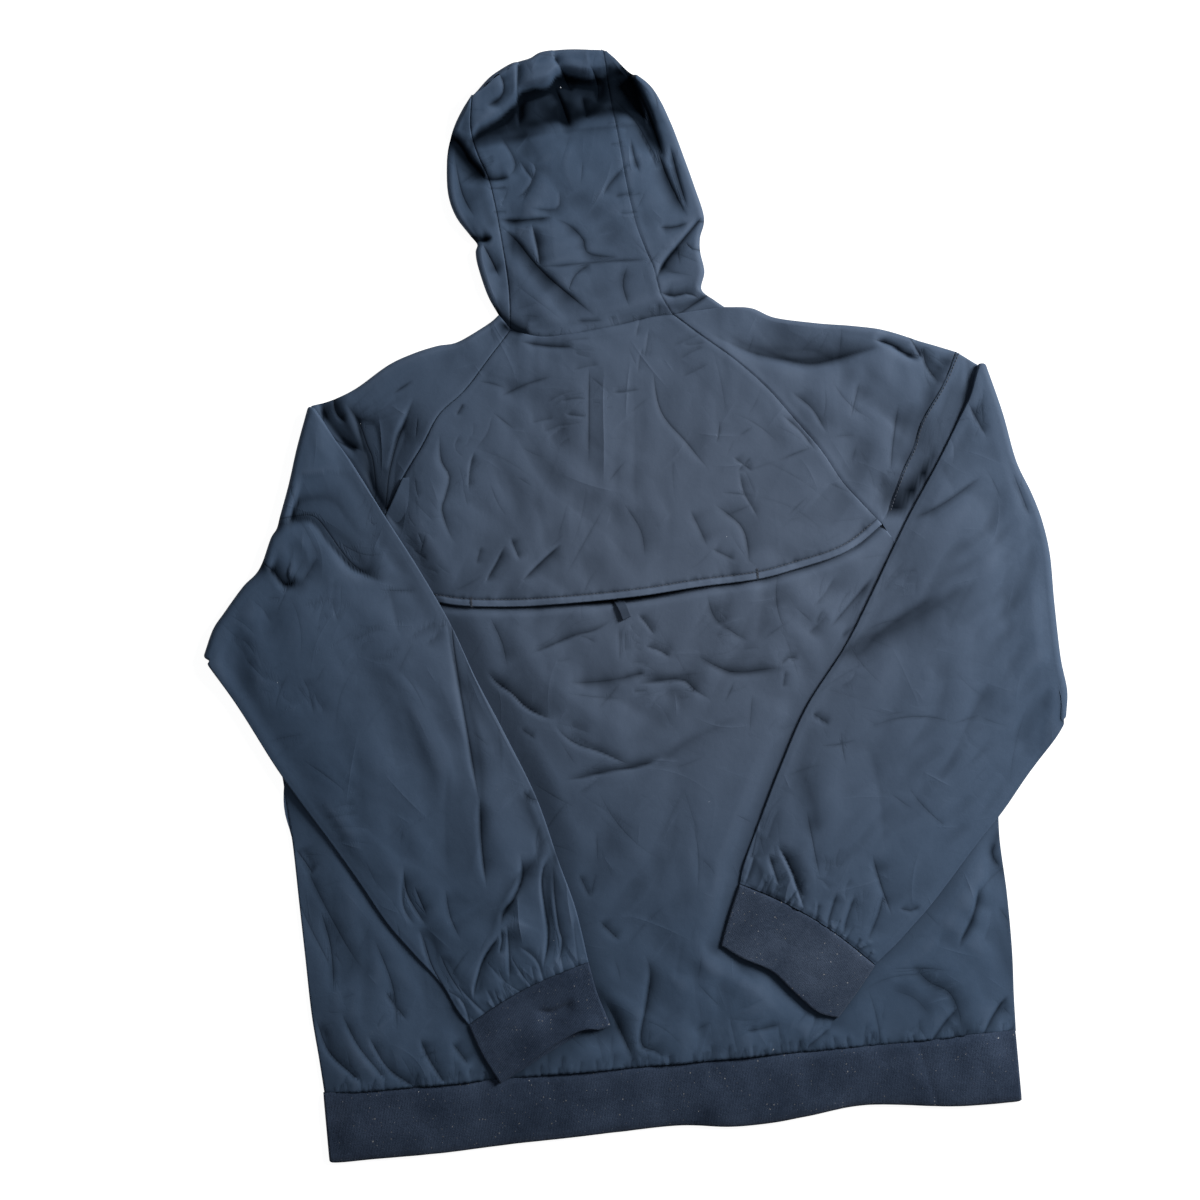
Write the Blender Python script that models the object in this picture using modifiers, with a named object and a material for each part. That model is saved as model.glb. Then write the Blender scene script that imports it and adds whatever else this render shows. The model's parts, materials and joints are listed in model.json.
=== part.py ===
"""Hooded nylon windbreaker, laid out flat with its back up and both sleeves folded over the back.

Millimetres are used for every size and table below, and turned into metres when a mesh is made.
+X is the wearer's right, +Y runs from the hem to the hood, +Z is up, and the floor is z = 0.
Left and right in the names are the wearer's.
"""
import math
from collections import namedtuple

import bmesh
import bpy
import numpy as np

MM = 0.001

# Cloth and its layers
WALL = 1.2            # nylon, as a wall
RIB_WALL = 2.0        # rib knit, doubled
SEAM_GAP = 0.3        # between two pieces at a seam
BODY_TOP = 5.8        # outer face of the back, over the fronts
SIDE_TOP = 2.7        # outer face of the back at a side seam, just above the front
SIDE_ROLL = 40.0      # width over which the back comes down to the side seam
TUBE = 5.8            # thickness of a flattened sleeve
LAYER_GAP = 0.8       # between a sleeve and what it lies on
FOLD_RADIUS = (2 * TUBE + LAYER_GAP) / 2

# Back flap
FLAP_SINK = 1.9       # how far the lower back drops where the flap covers it
FLAP_RUN = 60.0       # over this length, down to just short of the flap's edge
FLAP_CLEAR = 14.0
GAPE = 3.2            # how far the free edge stands open at the middle
GAPE_HALF = 60.0
GAPE_X = 3.0

# Zip
ZIP_X = -5.0
SLIDER_Y = 188.0
ZIP_TOP = 208.0
TAPE_WIDE = 13.3
TAPE_GAP = 0.4
LIFT = 4.6            # the cloth stands this high over the slider and its pull
TOP_LIFT = 1.8
LIFT_FLAT = 13.0
LIFT_REACH = 60.0

# Hood
HOOD_WRAP = 30.0      # how far the panels turn under
HOOD_NOSE = 12.0      # half-width of the rounded turn at the outline
HOOD_FILL_GAP = 1.3   # between the folded front half and the panels over it
HOOD_FLAT_RUN = 8.0   # a side panel narrower in Y than this ends in the crown's turn

# Hem band
HEM_HALF_GAP = 14.0   # from the zip's middle to the end of the band

# How many points go across each panel
BACK_COUNT = 21
FLAP_COUNT = 15
HOOD_COUNT = 9
SLEEVE_COUNT = 9
CUFF_COUNT = 7

Point = namedtuple("Point", "x y")
Level = namedtuple("Level", "y height")
Side = namedtuple("Side", "y left right")
Band = namedtuple("Band", "x bottom")
Section = namedtuple("Section", "inner_x inner_y outer_x outer_y")
Fold = namedtuple("Fold", "x0 y0 x1 y1 width depth")

# The raglan seams, from the neck to the underarm
RAGLAN_LEFT = [
    Point(-81, 237), Point(-103, 213), Point(-126, 188), Point(-149, 170), Point(-166, 145),
    Point(-186, 118), Point(-204, 88), Point(-238, 38), Point(-282, -22), Point(-315, -86),
]
RAGLAN_RIGHT = [
    Point(61, 238), Point(80, 221), Point(111, 194), Point(135, 169), Point(157, 140),
    Point(178, 110), Point(198, 76), Point(226, 40), Point(270, -36), Point(308, -118),
]
CORNER = 7            # the row where the drop seam and the flap's corner meet the raglan seam
BACK_TUCK = 5         # the row where the lower back ends, under the flap

# The shoulder edge, a point for each raglan row down to the corner
SHOULDER_LEFT = [
    Point(-90, 252), Point(-111, 240), Point(-132, 232), Point(-155, 228), Point(-178, 221),
    Point(-200, 210), Point(-219, 199), Point(-238, 192),
]
SHOULDER_RIGHT = [
    Point(107, 240), Point(129, 238), Point(152, 228), Point(185, 220), Point(215, 214),
    Point(245, 208), Point(276, 195), Point(303, 183),
]

# The sides of the laid body, from the hem seam to the underarm
SIDES = [
    Side(-411, -303, 303), Side(-380, -305, 304), Side(-340, -308, 305), Side(-290, -309, 306),
    Side(-240, -310, 305), Side(-190, -311, 308), Side(-140, -314, 308),
]
FLAP_EDGE_MIDDLE = -4.0
FLAP_BOW = -42.0      # how far the flap's lower rows bow down at the middle
NECK_MIDDLE = 229.0
FRONT_NECK = Point(-60, 205)

HEM = [
    Band(-305, -467), Band(-292, -471), Band(-230, -471), Band(-170, -470), Band(-110, -469),
    Band(-50, -467), Band(10, -466), Band(58, -471), Band(115, -469), Band(165, -464),
    Band(235, -470), Band(302, -471.2),
]

# The sleeves after the fold: rows from the fold to the cuff seam
SLEEVE_LEFT = [
    Section(-262, 188, -373, -22), Section(-232, 141, -346, -69), Section(-205, 88, -319, -122),
    Section(-180, 40, -298, -158), Section(-156, -12, -276, -194), Section(-138, -62, -255, -230),
    Section(-118, -110, -235, -266), Section(-98, -165, -215, -294), Section(-83, -224, -193, -323),
    Section(-70, -268, -181, -347), Section(-63, -316, -172, -361),
]
SLEEVE_RIGHT = [
    Section(328, 172, 370, -143), Section(304, 131, 357, -161), Section(280, 91, 332, -189),
    Section(247, 41, 308, -218), Section(212, -18, 284, -243), Section(184, -63, 251, -280),
    Section(146, -112, 235, -297), Section(118, -163, 218, -313), Section(94, -212, 205, -325),
    Section(79, -244, 195, -333), Section(74, -260, 185, -341),
]
LEFT_FOLD_BOW = -12.0     # how far the fold line bows out from a straight line
RIGHT_FOLD_BOW = 18.0
CUFF_LEFT = [
    Section(-63, -316, -172, -361), Section(-56, -343, -161, -389), Section(-50, -371, -149, -415),
]
CUFF_RIGHT = [
    Section(74, -260, 185, -341), Section(62, -288, 170, -362), Section(53, -312, 149, -384),
]

# The hood: a row for each section from the neck to the crown
HOOD_SEAM_LEFT = [
    Point(-80.8, 237.4), Point(-80, 262), Point(-79, 285), Point(-82, 320), Point(-83, 348),
    Point(-88, 375), Point(-97, 398), Point(-99, 420), Point(-94, 441),
]
HOOD_SEAM_RIGHT = [
    Point(61, 238.4), Point(54, 260), Point(49, 281), Point(40, 308), Point(33, 335),
    Point(29, 362), Point(27, 395), Point(22, 430), Point(20, 468),
]
HOOD_EDGE_LEFT = [
    Point(-89.6, 252.4), Point(-98, 267), Point(-104, 287), Point(-112, 322), Point(-123, 350),
    Point(-124, 376), Point(-120, 401), Point(-111, 423), Point(-98, 441),
]
HOOD_EDGE_RIGHT = [
    Point(103, 243.5), Point(93, 260), Point(91, 279), Point(95, 318), Point(90, 348),
    Point(83, 378), Point(73, 411), Point(58, 440), Point(26, 468),
]
CROWN_BOW = 13.0
CROWN_END_NOSE = 2.5      # the crown's turn is this small where it meets the side panels
HOOD_LEVELS = [
    Level(236, 5.8), Level(285, 7.0), Level(330, 7.5), Level(380, 8.0), Level(405, 9.0),
    Level(432, 13.5), Level(450, 14.5), Level(476, 13.0),
]

# The largest folds: troughs where depth is positive, ridges where it is negative
BODY_FOLDS = [
    Fold(-205, 195, -175, 120, 14, 1.8), Fold(-165, 190, -195, 110, 12, 1.6),
    Fold(110, 222, 250, 196, 10, 1.4), Fold(225, 150, 215, 90, 12, 1.5),
    Fold(-140, -65, -60, -100, 14, 1.9), Fold(-60, -105, 25, -135, 14, 1.6),
    Fold(75, -62, 180, -72, 13, 1.2), Fold(-8, -30, 40, -60, 10, 1.2),
    Fold(-298, -200, -285, -270, 12, 1.2), Fold(250, -240, 285, -330, 13, 1.4),
    Fold(-280, -345, -255, -400, 10, 1.2), Fold(40, -290, 35, -400, 10, 1.2),
]
SLEEVE_FOLDS = [
    Fold(-296, 88, -205, 30, 13, 1.7), Fold(-312, 50, -280, 22, 11, 1.4),
    Fold(-152, -40, -122, -240, 10, 1.4), Fold(-108, -215, -165, -340, 9, 1.5),
    Fold(210, -62, 300, 0, 13, 1.2), Fold(262, 60, 335, 95, 12, 1.0),
]
DEEPEST_FOLD = 2.0


def smooth(t):
    """Zero below 0, one above 1, and a smooth step between."""
    t = min(max(t, 0.0), 1.0)
    return t * t * (3 - 2 * t)


def mix(a, b, t):
    return a + (b - a) * t


def resample(points, count):
    """Points at even parameter steps along a chain, through its corners where count allows."""
    chain = np.array(points, float)
    steps = np.linspace(0, len(chain) - 1, count)
    index = np.arange(len(chain))
    return [Point(*(np.interp(s, index, chain[:, axis]) for axis in (0, 1))) for s in steps]


def trough(x, y, folds):
    """How far the folds in a table take the cloth down at a point."""
    down = 0.0
    for fold in folds:
        run = np.array([fold.x1 - fold.x0, fold.y1 - fold.y0])
        away = np.array([x - fold.x0, y - fold.y0])
        along = float(np.clip(away @ run / (run @ run), 0, 1))
        across = float(np.linalg.norm(away - along * run))
        ends = math.sin(math.pi * mix(0.12, 0.88, along))
        down += fold.depth * ends * math.exp(-(across / fold.width) ** 2)
    return min(down, DEEPEST_FOLD)


def lift(x, y, height):
    """The low dome that all layers make over the zip slider."""
    away = math.hypot(x - ZIP_X, y - SLIDER_Y)
    return height * (1 - smooth((away - LIFT_FLAT) / LIFT_REACH))


def side_distance(x, y):
    """Distance in from the side seams, which end at the underarms."""
    heights = [row.y for row in SIDES]
    left = np.interp(y, heights, [row.left for row in SIDES])
    right = np.interp(y, heights, [row.right for row in SIDES])
    inside = min(x - left, right - x)
    return inside + SIDE_ROLL * smooth((y - SIDES[-1].y) / SIDE_ROLL)


def back_top(x, y):
    """The outer face of the back: down to the front at the side seams, with its largest folds."""
    roll = math.sin(math.pi / 2 * min(max(side_distance(x, y) / SIDE_ROLL, 0), 1))
    return mix(SIDE_TOP, BODY_TOP, roll) + lift(x, y, TOP_LIFT)


def flap_edge_y(x):
    """The flap's free edge: low at the middle, up to the raglan corners."""
    out = min(abs(x - GAPE_X) / (RAGLAN_RIGHT[CORNER].x - GAPE_X), 1.1)
    return mix(FLAP_EDGE_MIDDLE, RAGLAN_RIGHT[CORNER].y, out ** 3)


def lower_back_top(x, y):
    under = smooth((y + FLAP_CLEAR - flap_edge_y(x)) / FLAP_RUN + 1)
    folds = trough(x, y, BODY_FOLDS) * (1 - under) * min(side_distance(x, y) / SIDE_ROLL, 1)
    return back_top(x, y) - FLAP_SINK * under - folds


def yoke_top(x, y):
    """The flap and the shoulder panels share one height."""
    clear = smooth((y - RAGLAN_RIGHT[BACK_TUCK].y) / 30)
    return back_top(x, y) - trough(x, y, BODY_FOLDS) * clear


def flap_top(x, y):
    near = math.exp(-((x - GAPE_X) / GAPE_HALF) ** 2)
    return yoke_top(x, y) + GAPE * near * (1 - smooth((y - flap_edge_y(x)) / GAPE_HALF))


def material(name, colour, roughness, sheen):
    made = bpy.data.materials.new(name)
    made.use_nodes = True
    shader = made.node_tree.nodes["Principled BSDF"]
    shader.inputs["Base Color"].default_value = (*colour, 1)
    shader.inputs["Roughness"].default_value = roughness
    shader.inputs["Metallic"].default_value = 1.0 if sheen < 0 else 0.0
    shader.inputs["Sheen Weight"].default_value = max(sheen, 0)
    return made


NYLON = (0.034, 0.052, 0.085)
RIB = (0.020, 0.024, 0.040)
ZINC = (0.16, 0.17, 0.19)


def add_object(name, mesh, finish):
    piece = bpy.data.objects.new(name, mesh)
    mesh.materials.append(material(name + "_finish", *finish))
    COLLECTION.objects.link(piece)
    return piece


def grid_mesh(name, rows, close_rows=False, flip=False):
    """An open surface through rows of points, all of one length. A closed row makes a tube."""
    shape = bmesh.new()
    verts = [[shape.verts.new(np.array(point, float) * MM) for point in row] for row in rows]
    across = len(rows[0])
    for low, high in zip(verts, verts[1:]):
        for k in range(across if close_rows else across - 1):
            nxt = (k + 1) % across
            corners = (low[k], low[nxt], high[nxt], high[k])
            shape.faces.new(corners[::-1] if flip else corners)
    mesh = bpy.data.meshes.new(name)
    shape.to_mesh(mesh)
    shape.free()
    return mesh


def cloth(name, rows, wall=WALL, finish=(NYLON, 0.5, 0.3), close_rows=False, flip=False):
    """A cloth wall: the rows lie on its outer face, and Solidify gives it thickness inwards."""
    piece = add_object(name, grid_mesh(name, rows, close_rows, flip), finish)
    solidify = piece.modifiers.new("wall", "SOLIDIFY")
    solidify.thickness = wall * MM
    solidify.offset = -1
    solidify.use_even_offset = True
    for polygon in piece.data.polygons:
        polygon.use_smooth = True
    piece.data.set_sharp_from_angle(angle=math.radians(40))
    return piece


def spread(left, right, bow, count, top):
    """A row of points across a panel, bowed in Y at its middle, on the height that top gives."""
    row = []
    for u in np.linspace(0, 1, count):
        x = mix(left.x, right.x, u)
        y = mix(left.y, right.y, u) + bow * (1 - abs(2 * u - 1) ** 3)
        row.append((x, y, top(x, y)))
    return row


def inset(point, towards, distance=SEAM_GAP / 2):
    """A seam point moved half the seam gap into its own panel."""
    direction = np.array([towards.x - point.x, towards.y - point.y])
    moved = np.array(point) + direction / np.linalg.norm(direction) * distance
    return Point(*moved)


CENTRE = Point(ZIP_X, 100)
SHOULDER_UNDER = 0.92     # how far the underside reaches towards the seam, near the neck
NECK_ROWS = 3             # the shoulder rows that count as near the neck


def make_lower_back():
    rows = []
    for side in SIDES:
        left, right = Point(side.left, side.y), Point(side.right, side.y)
        rows.append(spread(left, right, 0, BACK_COUNT, lower_back_top))
    for left, right in zip(RAGLAN_LEFT[:BACK_TUCK - 1:-1], RAGLAN_RIGHT[:BACK_TUCK - 1:-1]):
        ends = inset(left, CENTRE), inset(right, CENTRE)
        rows.append(spread(*ends, 0, BACK_COUNT, lower_back_top))
    cloth("back_lower", rows)


def make_flap():
    """The flap's rows follow the raglan rows, bowed down at the free edge."""
    rows = []
    lefts = RAGLAN_LEFT[CORNER::-1]
    rights = RAGLAN_RIGHT[CORNER::-1]
    for k, (left, right) in enumerate(zip(lefts, rights)):
        level = (left.y + right.y) / 2
        bow = FLAP_BOW * (1 - k / CORNER) ** 2
        if k == 0:
            bow = FLAP_EDGE_MIDDLE - level
        if k == CORNER:
            bow = NECK_MIDDLE - level
        rows.append(spread(inset(left, CENTRE), inset(right, CENTRE), bow, FLAP_COUNT, flap_top))
    cloth("back_flap", rows)


def turned(points, edge, under, thick, top, steps=5):
    """A section that runs on top to an outline point, round its edge and back underneath.

    points are the plan points on top, edge is on the outline, and under is where it ends below.
    """
    radius = thick / 2
    away = np.array(edge) - np.array(points[-1])
    away = away / np.linalg.norm(away)
    centre = np.array(edge) - away * radius
    row = [(point.x, point.y, top(point.x, point.y)) for point in points]
    for k in range(steps):
        angle = math.pi / 2 - math.pi * k / (steps - 1)
        x, y = centre + away * radius * math.cos(angle)
        row.append((x, y, radius + radius * math.sin(angle) if k else top(x, y)))
    row.append(((centre[0] + under.x) / 2, (centre[1] + under.y) / 2, 0))
    row.append((under.x, under.y, 0))
    return row


def between(a, b, t):
    return Point(mix(a.x, b.x, t), mix(a.y, b.y, t))


def make_shoulder(name, sign, raglan, outline):
    """From the raglan seam over the shoulder edge and back underneath."""
    rows = []
    for k, (seam, edge) in enumerate(zip(raglan[:CORNER + 1], outline)):
        start = inset(seam, edge)
        under = between(edge, seam, SHOULDER_UNDER if k < NECK_ROWS else 1)
        points = [start, between(start, edge, 0.4), between(start, edge, 0.75), edge, under]
        if k == CORNER:
            points = [Point(p.x - sign * SEAM_GAP / 2, p.y) for p in points]
        edge, under = points[3:]
        rows.append(turned(points[:3], edge, inset(under, edge), BODY_TOP, yoke_top))
    cloth(name, rows, flip=sign > 0)


def front_height(x, y):
    return lift(x, y, LIFT)


def make_front(name, sign, raglan):
    """The hidden fronts lie on the floor. Their outer face is down."""
    zip_edge = ZIP_X + sign * (TAPE_WIDE + TAPE_GAP + SEAM_GAP)
    outer = [Point(side.left if sign < 0 else side.right, side.y) for side in SIDES]
    outer += [inset(point, CENTRE) for point in raglan[:2:-1]]
    outer.append(inset(raglan[2], CENTRE, 3))
    outer.append(Point(ZIP_X + sign * (ZIP_X - FRONT_NECK.x), FRONT_NECK.y))
    rows = []
    for point in outer:
        level = min(point.y, ZIP_TOP - 6) if point is not outer[-1] else ZIP_TOP
        row = []
        for u in (0, 0.18, 0.4, 0.6, 0.8, 1):
            x = mix(zip_edge, point.x, u)
            y = mix(level, point.y, u)
            row.append((x, y, front_height(x, y)))
        rows.append(row)
    cloth(name, rows, flip=sign > 0)


def make_tape(name, sign):
    """Half of the closed zip, from the hem's lower edge to the neck."""
    levels = [-466, -411, -330, -240, -150, -60, 20, 80, 115, 135, 150, 163]
    levels += [SLIDER_Y - LIFT_FLAT + 1, SLIDER_Y + LIFT_FLAT - 1, ZIP_TOP + 1]
    rows = []
    for y in levels:
        inner = ZIP_X + sign * TAPE_GAP / 2
        outer = ZIP_X + sign * TAPE_WIDE
        rows.append([(x, y, front_height(x, y)) for x in (inner, mix(inner, outer, 0.5), outer)])
    cloth(name, rows, flip=sign > 0, finish=(RIB, 0.7, 0.1))


def tube_ring(path, towards, thickness, angle, offset, relief, top=None):
    """A ring round a flattened tube.

    path is the plan line across the tube, from its first edge to its second. towards is the
    horizontal direction of the fold, angle turns the tube's face from down (-90) through the
    fold (0) to up (90), and offset is how far the ring lies from the fold's axis.
    """
    radius = thickness / 2
    chain = [np.array([p.x, p.y, FOLD_RADIUS]) for p in path]
    normal = np.array([*(math.cos(angle) * towards), math.sin(angle)])
    chain = [p + normal * offset for p in chain]
    first = (chain[0] - chain[1]) / np.linalg.norm(chain[0] - chain[1])
    last = (chain[-1] - chain[-2]) / np.linalg.norm(chain[-1] - chain[-2])
    start = chain[0] - first * radius
    end = chain[-1] - last * radius
    inner = [start] + chain[1:-1] + [end]
    face = [p + normal * (radius - relief(p[0], p[1])) for p in inner]
    back = [p - normal * radius for p in inner]
    if top:
        back = [np.array([p[0], p[1], top(p[0], p[1])]) for p in inner]
    turn = [math.radians(a) for a in (45, 0, -45)]
    start_cap = [start + radius * (first * math.cos(a) - normal * math.sin(a)) for a in turn]
    end_cap = [end + radius * (last * math.cos(a) + normal * math.sin(a)) for a in turn]
    return face + end_cap + back[::-1] + start_cap


def bowed(first, last, bow, outward, count):
    """Plan points on a line that bows outward at its middle."""
    points = []
    for u in np.linspace(0, 1, count):
        out = outward * bow * math.sin(math.pi * u)
        points.append(Point(mix(first.x, last.x, u) + out[0], mix(first.y, last.y, u) + out[1]))
    return points


def outward_of(first, last, sign):
    along = np.array([last.x - first.x, last.y - first.y])
    along = along / np.linalg.norm(along)
    out = np.array([-along[1], along[0]])
    return out if out[0] * sign > 0 else -out


def no_folds(x, y):
    return 0.0


def sleeve_folds(x, y):
    return trough(x, y, SLEEVE_FOLDS)


def make_sleeve(name, sign, raglan, outline, table, bow):
    """A tube from the drop seam out to the fold, over it, and back to the cuff seam."""
    first = Point(table[0].inner_x, table[0].inner_y)
    last = Point(table[0].outer_x, table[0].outer_y)
    out = outward_of(first, last, sign)
    rest = FOLD_RADIUS - TUBE / 2
    armhole = [outline[-1], between(outline[-1], raglan[CORNER], 0.5), *raglan[CORNER:]]
    armhole = resample([Point(p.x + sign * SEAM_GAP, p.y) for p in armhole], SLEEVE_COUNT)
    rings = [tube_ring(armhole, out * 0, TUBE, -math.pi / 2, rest, no_folds, back_top)]
    fold = bowed(first, last, bow, out, SLEEVE_COUNT)
    axis = [Point(p.x - out[0] * FOLD_RADIUS, p.y - out[1] * FOLD_RADIUS) for p in fold]
    for angle in (-90, -30, 30, 90):
        rings.append(tube_ring(axis, out, TUBE, math.radians(angle), rest, no_folds))
    for k, row in enumerate(table[1:], 1):
        fade = 1 - k / (len(table) - 1)
        a = Point(row.inner_x, row.inner_y)
        b = Point(row.outer_x, row.outer_y)
        path = bowed(a, b, bow * fade ** 2, outward_of(a, b, sign), SLEEVE_COUNT)
        rings.append(tube_ring(path, out, TUBE, math.pi / 2, rest, sleeve_folds))
    cloth(name, rings, close_rows=True, flip=sign > 0)


def make_cuff(name, sign, table):
    """A short knit tube that starts just below the end of its sleeve."""
    rings = []
    rest = FOLD_RADIUS - TUBE / 2
    for k, row in enumerate(table):
        a = np.array([row.inner_x, row.inner_y])
        b = np.array([row.outer_x, row.outer_y])
        if k == 0:
            down = np.array([table[1].inner_x, table[1].inner_y]) - a
            step = down / np.linalg.norm(down) * SEAM_GAP * 1.3
            a, b = a + step, b + step
        path = resample([a, b], CUFF_COUNT)
        rings.append(tube_ring(path, np.zeros(2), TUBE, math.pi / 2, rest, no_folds))
    cloth(name, rings, wall=RIB_WALL, finish=(RIB, 0.9, 0.4), close_rows=True, flip=sign > 0)


def make_hem():
    """The band goes from one side of the zip, round both sides of the body, to the other."""
    radius = BODY_TOP / 2
    bottoms = [row.bottom for row in HEM]
    xs = [row.x for row in HEM]
    low, high = xs[0] + radius, xs[-1] - radius
    under_left = np.linspace(ZIP_X - HEM_HALF_GAP, low, 6)
    under_right = np.linspace(high, ZIP_X + HEM_HALF_GAP, 6)
    turn = [math.radians(a) for a in (-60, -20, 20, 60)]
    path = [(x, 0) for x in under_left]
    path += [(low - radius * math.cos(a), radius + radius * math.sin(a)) for a in turn]
    path += [(low, BODY_TOP)] + [(x, BODY_TOP) for x in xs[1:-1]] + [(high, BODY_TOP)]
    path += [(high + radius * math.cos(a), radius + radius * math.sin(a)) for a in turn[::-1]]
    path += [(x, 0) for x in under_right]
    rows = []
    for t in (0, 0.5, 1):
        row = []
        for x, z in path:
            bottom = np.interp(x, xs, bottoms)
            row.append((x, mix(SIDES[0].y - SEAM_GAP, bottom, t), z))
        rows.append(row)
    cloth("hem_rib", rows, wall=RIB_WALL, finish=(RIB, 0.9, 0.4), flip=True)


def make_loop():
    """A short tape folded on itself, held under the flap and pointing down to the right."""
    wide, reach, thick, tuck = 8.5, 28.0, 2.0, 5.0
    root = np.array([-12.0, 2.0])
    along = np.array([0.36, -0.93])
    across = np.array([0.93, 0.36])
    floor = lower_back_top(root[0], root[1]) + 0.45
    rows = []
    radius = thick / 2
    profile = [(-tuck, thick), (reach * 0.4, thick), (reach - radius, thick)]
    profile += [(reach, radius)]
    profile += [(reach - radius, 0), (reach * 0.4, 0), (-tuck, 0)]
    for run, height in profile:
        tip = 0.7 * max(run, 0) / reach
        row = []
        for u in (-0.5, 0, 0.5):
            x, y = root + along * run + across * wide * u
            row.append((x, y, floor + height + tip))
        rows.append(row)
    cloth("hang_loop", rows, wall=0.8, finish=(NYLON, 0.6, 0.2), flip=True)


def hood_top(x, y):
    heights = [row.y for row in HOOD_LEVELS]
    return float(np.interp(y, heights, [row.height for row in HOOD_LEVELS])) + lift(x, y, TOP_LIFT)


def nose(edge, away, size, level, steps):
    """The turn at the hood's outline: a half ellipse that ends underneath."""
    points = []
    for k in range(steps):
        angle = math.pi / 2 - math.pi * k / (steps - 1)
        out = size * (math.cos(angle) - 1)
        points.append((edge[0] + away[0] * out, edge[1] + away[1] * out, level / 2 * (1 + math.sin(angle))))
    return points


def hood_section(seam, edge, inner):
    """From a seam point on top, round the outline, to a point underneath."""
    away = np.array(edge) - np.array(inner)
    away = away / np.linalg.norm(away)
    reach = float(np.linalg.norm(np.array(edge) - np.array(seam)))
    size = min(HOOD_NOSE, 0.55 * reach)
    turn_x, turn_y = np.array(edge) - away * size
    row = [(mix(seam.x, turn_x, u), mix(seam.y, turn_y, u)) for u in (0, 0.5)]
    row = [(x, y, hood_top(x, y)) for x, y in row]
    row += nose(edge, away, size, hood_top(turn_x, turn_y), 7)
    wrap = HOOD_WRAP if edge.y - seam.y < HOOD_FLAT_RUN else reach
    end_x, end_y = np.array(edge) - away * wrap
    return row + [(end_x, end_y, 0)]


HOOD_MIDDLE = Point(-18, 345)
HOOD_TURN_Y = 380.0       # above this the side panels' sections lean towards the middle
HOOD_TURN_RUN = 70.0


def make_hood_side(name, sign, seams, edges):
    """From the seam with the centre panel out to the hood's outline, and under it."""
    rows = []
    for k, (seam, edge) in enumerate(zip(seams, edges)):
        start = Point(seam.x + sign * SEAM_GAP / 2, seam.y)
        lean = smooth((edge.y - HOOD_TURN_Y) / HOOD_TURN_RUN)
        inner = Point(HOOD_MIDDLE.x, mix(edge.y, HOOD_MIDDLE.y, lean)) if k else seam
        rows.append(hood_section(start, edge, inner))
    cloth(name, rows, flip=sign < 0)


def crown_point(u):
    """A point on the crown's outline, between the tops of the two seams."""
    left, right = HOOD_SEAM_LEFT[-1], HOOD_SEAM_RIGHT[-1]
    bow = CROWN_BOW * (1 - abs(2 * u - 1) ** 2.4)
    return Point(mix(left.x, right.x, u), mix(left.y, right.y, u) + bow)


def make_hood_centre():
    """Runs from the neck seam over the crown and turns under there."""
    rows = []
    for left, right in zip(HOOD_SEAM_LEFT[:-1], HOOD_SEAM_RIGHT[:-1]):
        a = Point(left.x + SEAM_GAP / 2, left.y)
        b = Point(right.x - SEAM_GAP / 2, right.y)
        bow = NECK_MIDDLE + SEAM_GAP - (left.y + right.y) / 2 if left is HOOD_SEAM_LEFT[0] else 0
        rows.append(spread(a, b, bow, HOOD_COUNT, hood_top))
    sections = []
    for u in np.linspace(0.004, 0.996, HOOD_COUNT):
        edge = crown_point(u)
        away = np.array([edge.x - HOOD_MIDDLE.x, edge.y - HOOD_MIDDLE.y])
        away = away / np.linalg.norm(away)
        size = mix(CROWN_END_NOSE, HOOD_NOSE, smooth(min(u, 1 - u) / 0.2))
        turn = np.array(edge) - away * size
        end = np.array(edge) - away * HOOD_WRAP
        sections.append(nose(edge, away, size, hood_top(*turn), 6) + [(end[0], end[1], 0)])
    rows += [list(row) for row in zip(*sections)]
    cloth("hood_centre", rows)


def make_hood_folds():
    """The hood's front half, folded under: one rounded solid between the turned-in edges."""
    inset_by = HOOD_NOSE + 3
    rows_top, rows_bottom = [], []
    for y in (247, 275, 305, 335, 365, 395, 418, 434, 444):
        left = np.interp(y, [p.y for p in HOOD_EDGE_LEFT], [p.x for p in HOOD_EDGE_LEFT])
        right = np.interp(y, [p.y for p in HOOD_EDGE_RIGHT], [p.x for p in HOOD_EDGE_RIGHT])
        close = inset_by + 22 * smooth((y - 410) / 40)
        top_row, bottom_row = [], []
        for u in (0, 0.06, 0.2, 0.4, 0.6, 0.8, 0.94, 1):
            x = mix(left + close, right - close, u)
            edge = min(u, 1 - u) / 0.06
            ends = min(edge, 1) * min((452 - y) / 14, 1)
            bottom = WALL + SEAM_GAP
            height = mix(bottom + 1.2, hood_top(x, y) - WALL - HOOD_FILL_GAP, smooth(ends))
            top_row.append((x, y, height))
            bottom_row.append((x, y, bottom))
        rows_top.append(top_row)
        rows_bottom.append(bottom_row)
    shape = bmesh.new()
    top = [[shape.verts.new(np.array(p) * MM) for p in row] for row in rows_top]
    bottom = [[shape.verts.new(np.array(p) * MM) for p in row] for row in rows_bottom]
    last, wide = len(top) - 1, len(top[0]) - 1
    for j in range(last):
        for k in range(wide):
            shape.faces.new((top[j][k], top[j][k + 1], top[j + 1][k + 1], top[j + 1][k]))
            shape.faces.new((bottom[j][k], bottom[j + 1][k], bottom[j + 1][k + 1], bottom[j][k + 1]))
        shape.faces.new((bottom[j][0], top[j][0], top[j + 1][0], bottom[j + 1][0]))
        shape.faces.new((top[j][wide], bottom[j][wide], bottom[j + 1][wide], top[j + 1][wide]))
    for k in range(wide):
        shape.faces.new((bottom[0][k], bottom[0][k + 1], top[0][k + 1], top[0][k]))
        shape.faces.new((top[last][k], top[last][k + 1], bottom[last][k + 1], bottom[last][k]))
    mesh = bpy.data.meshes.new("hood_front_folds")
    shape.to_mesh(mesh)
    shape.free()
    add_object("hood_front_folds", mesh, (NYLON, 0.5, 0.3))


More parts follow.
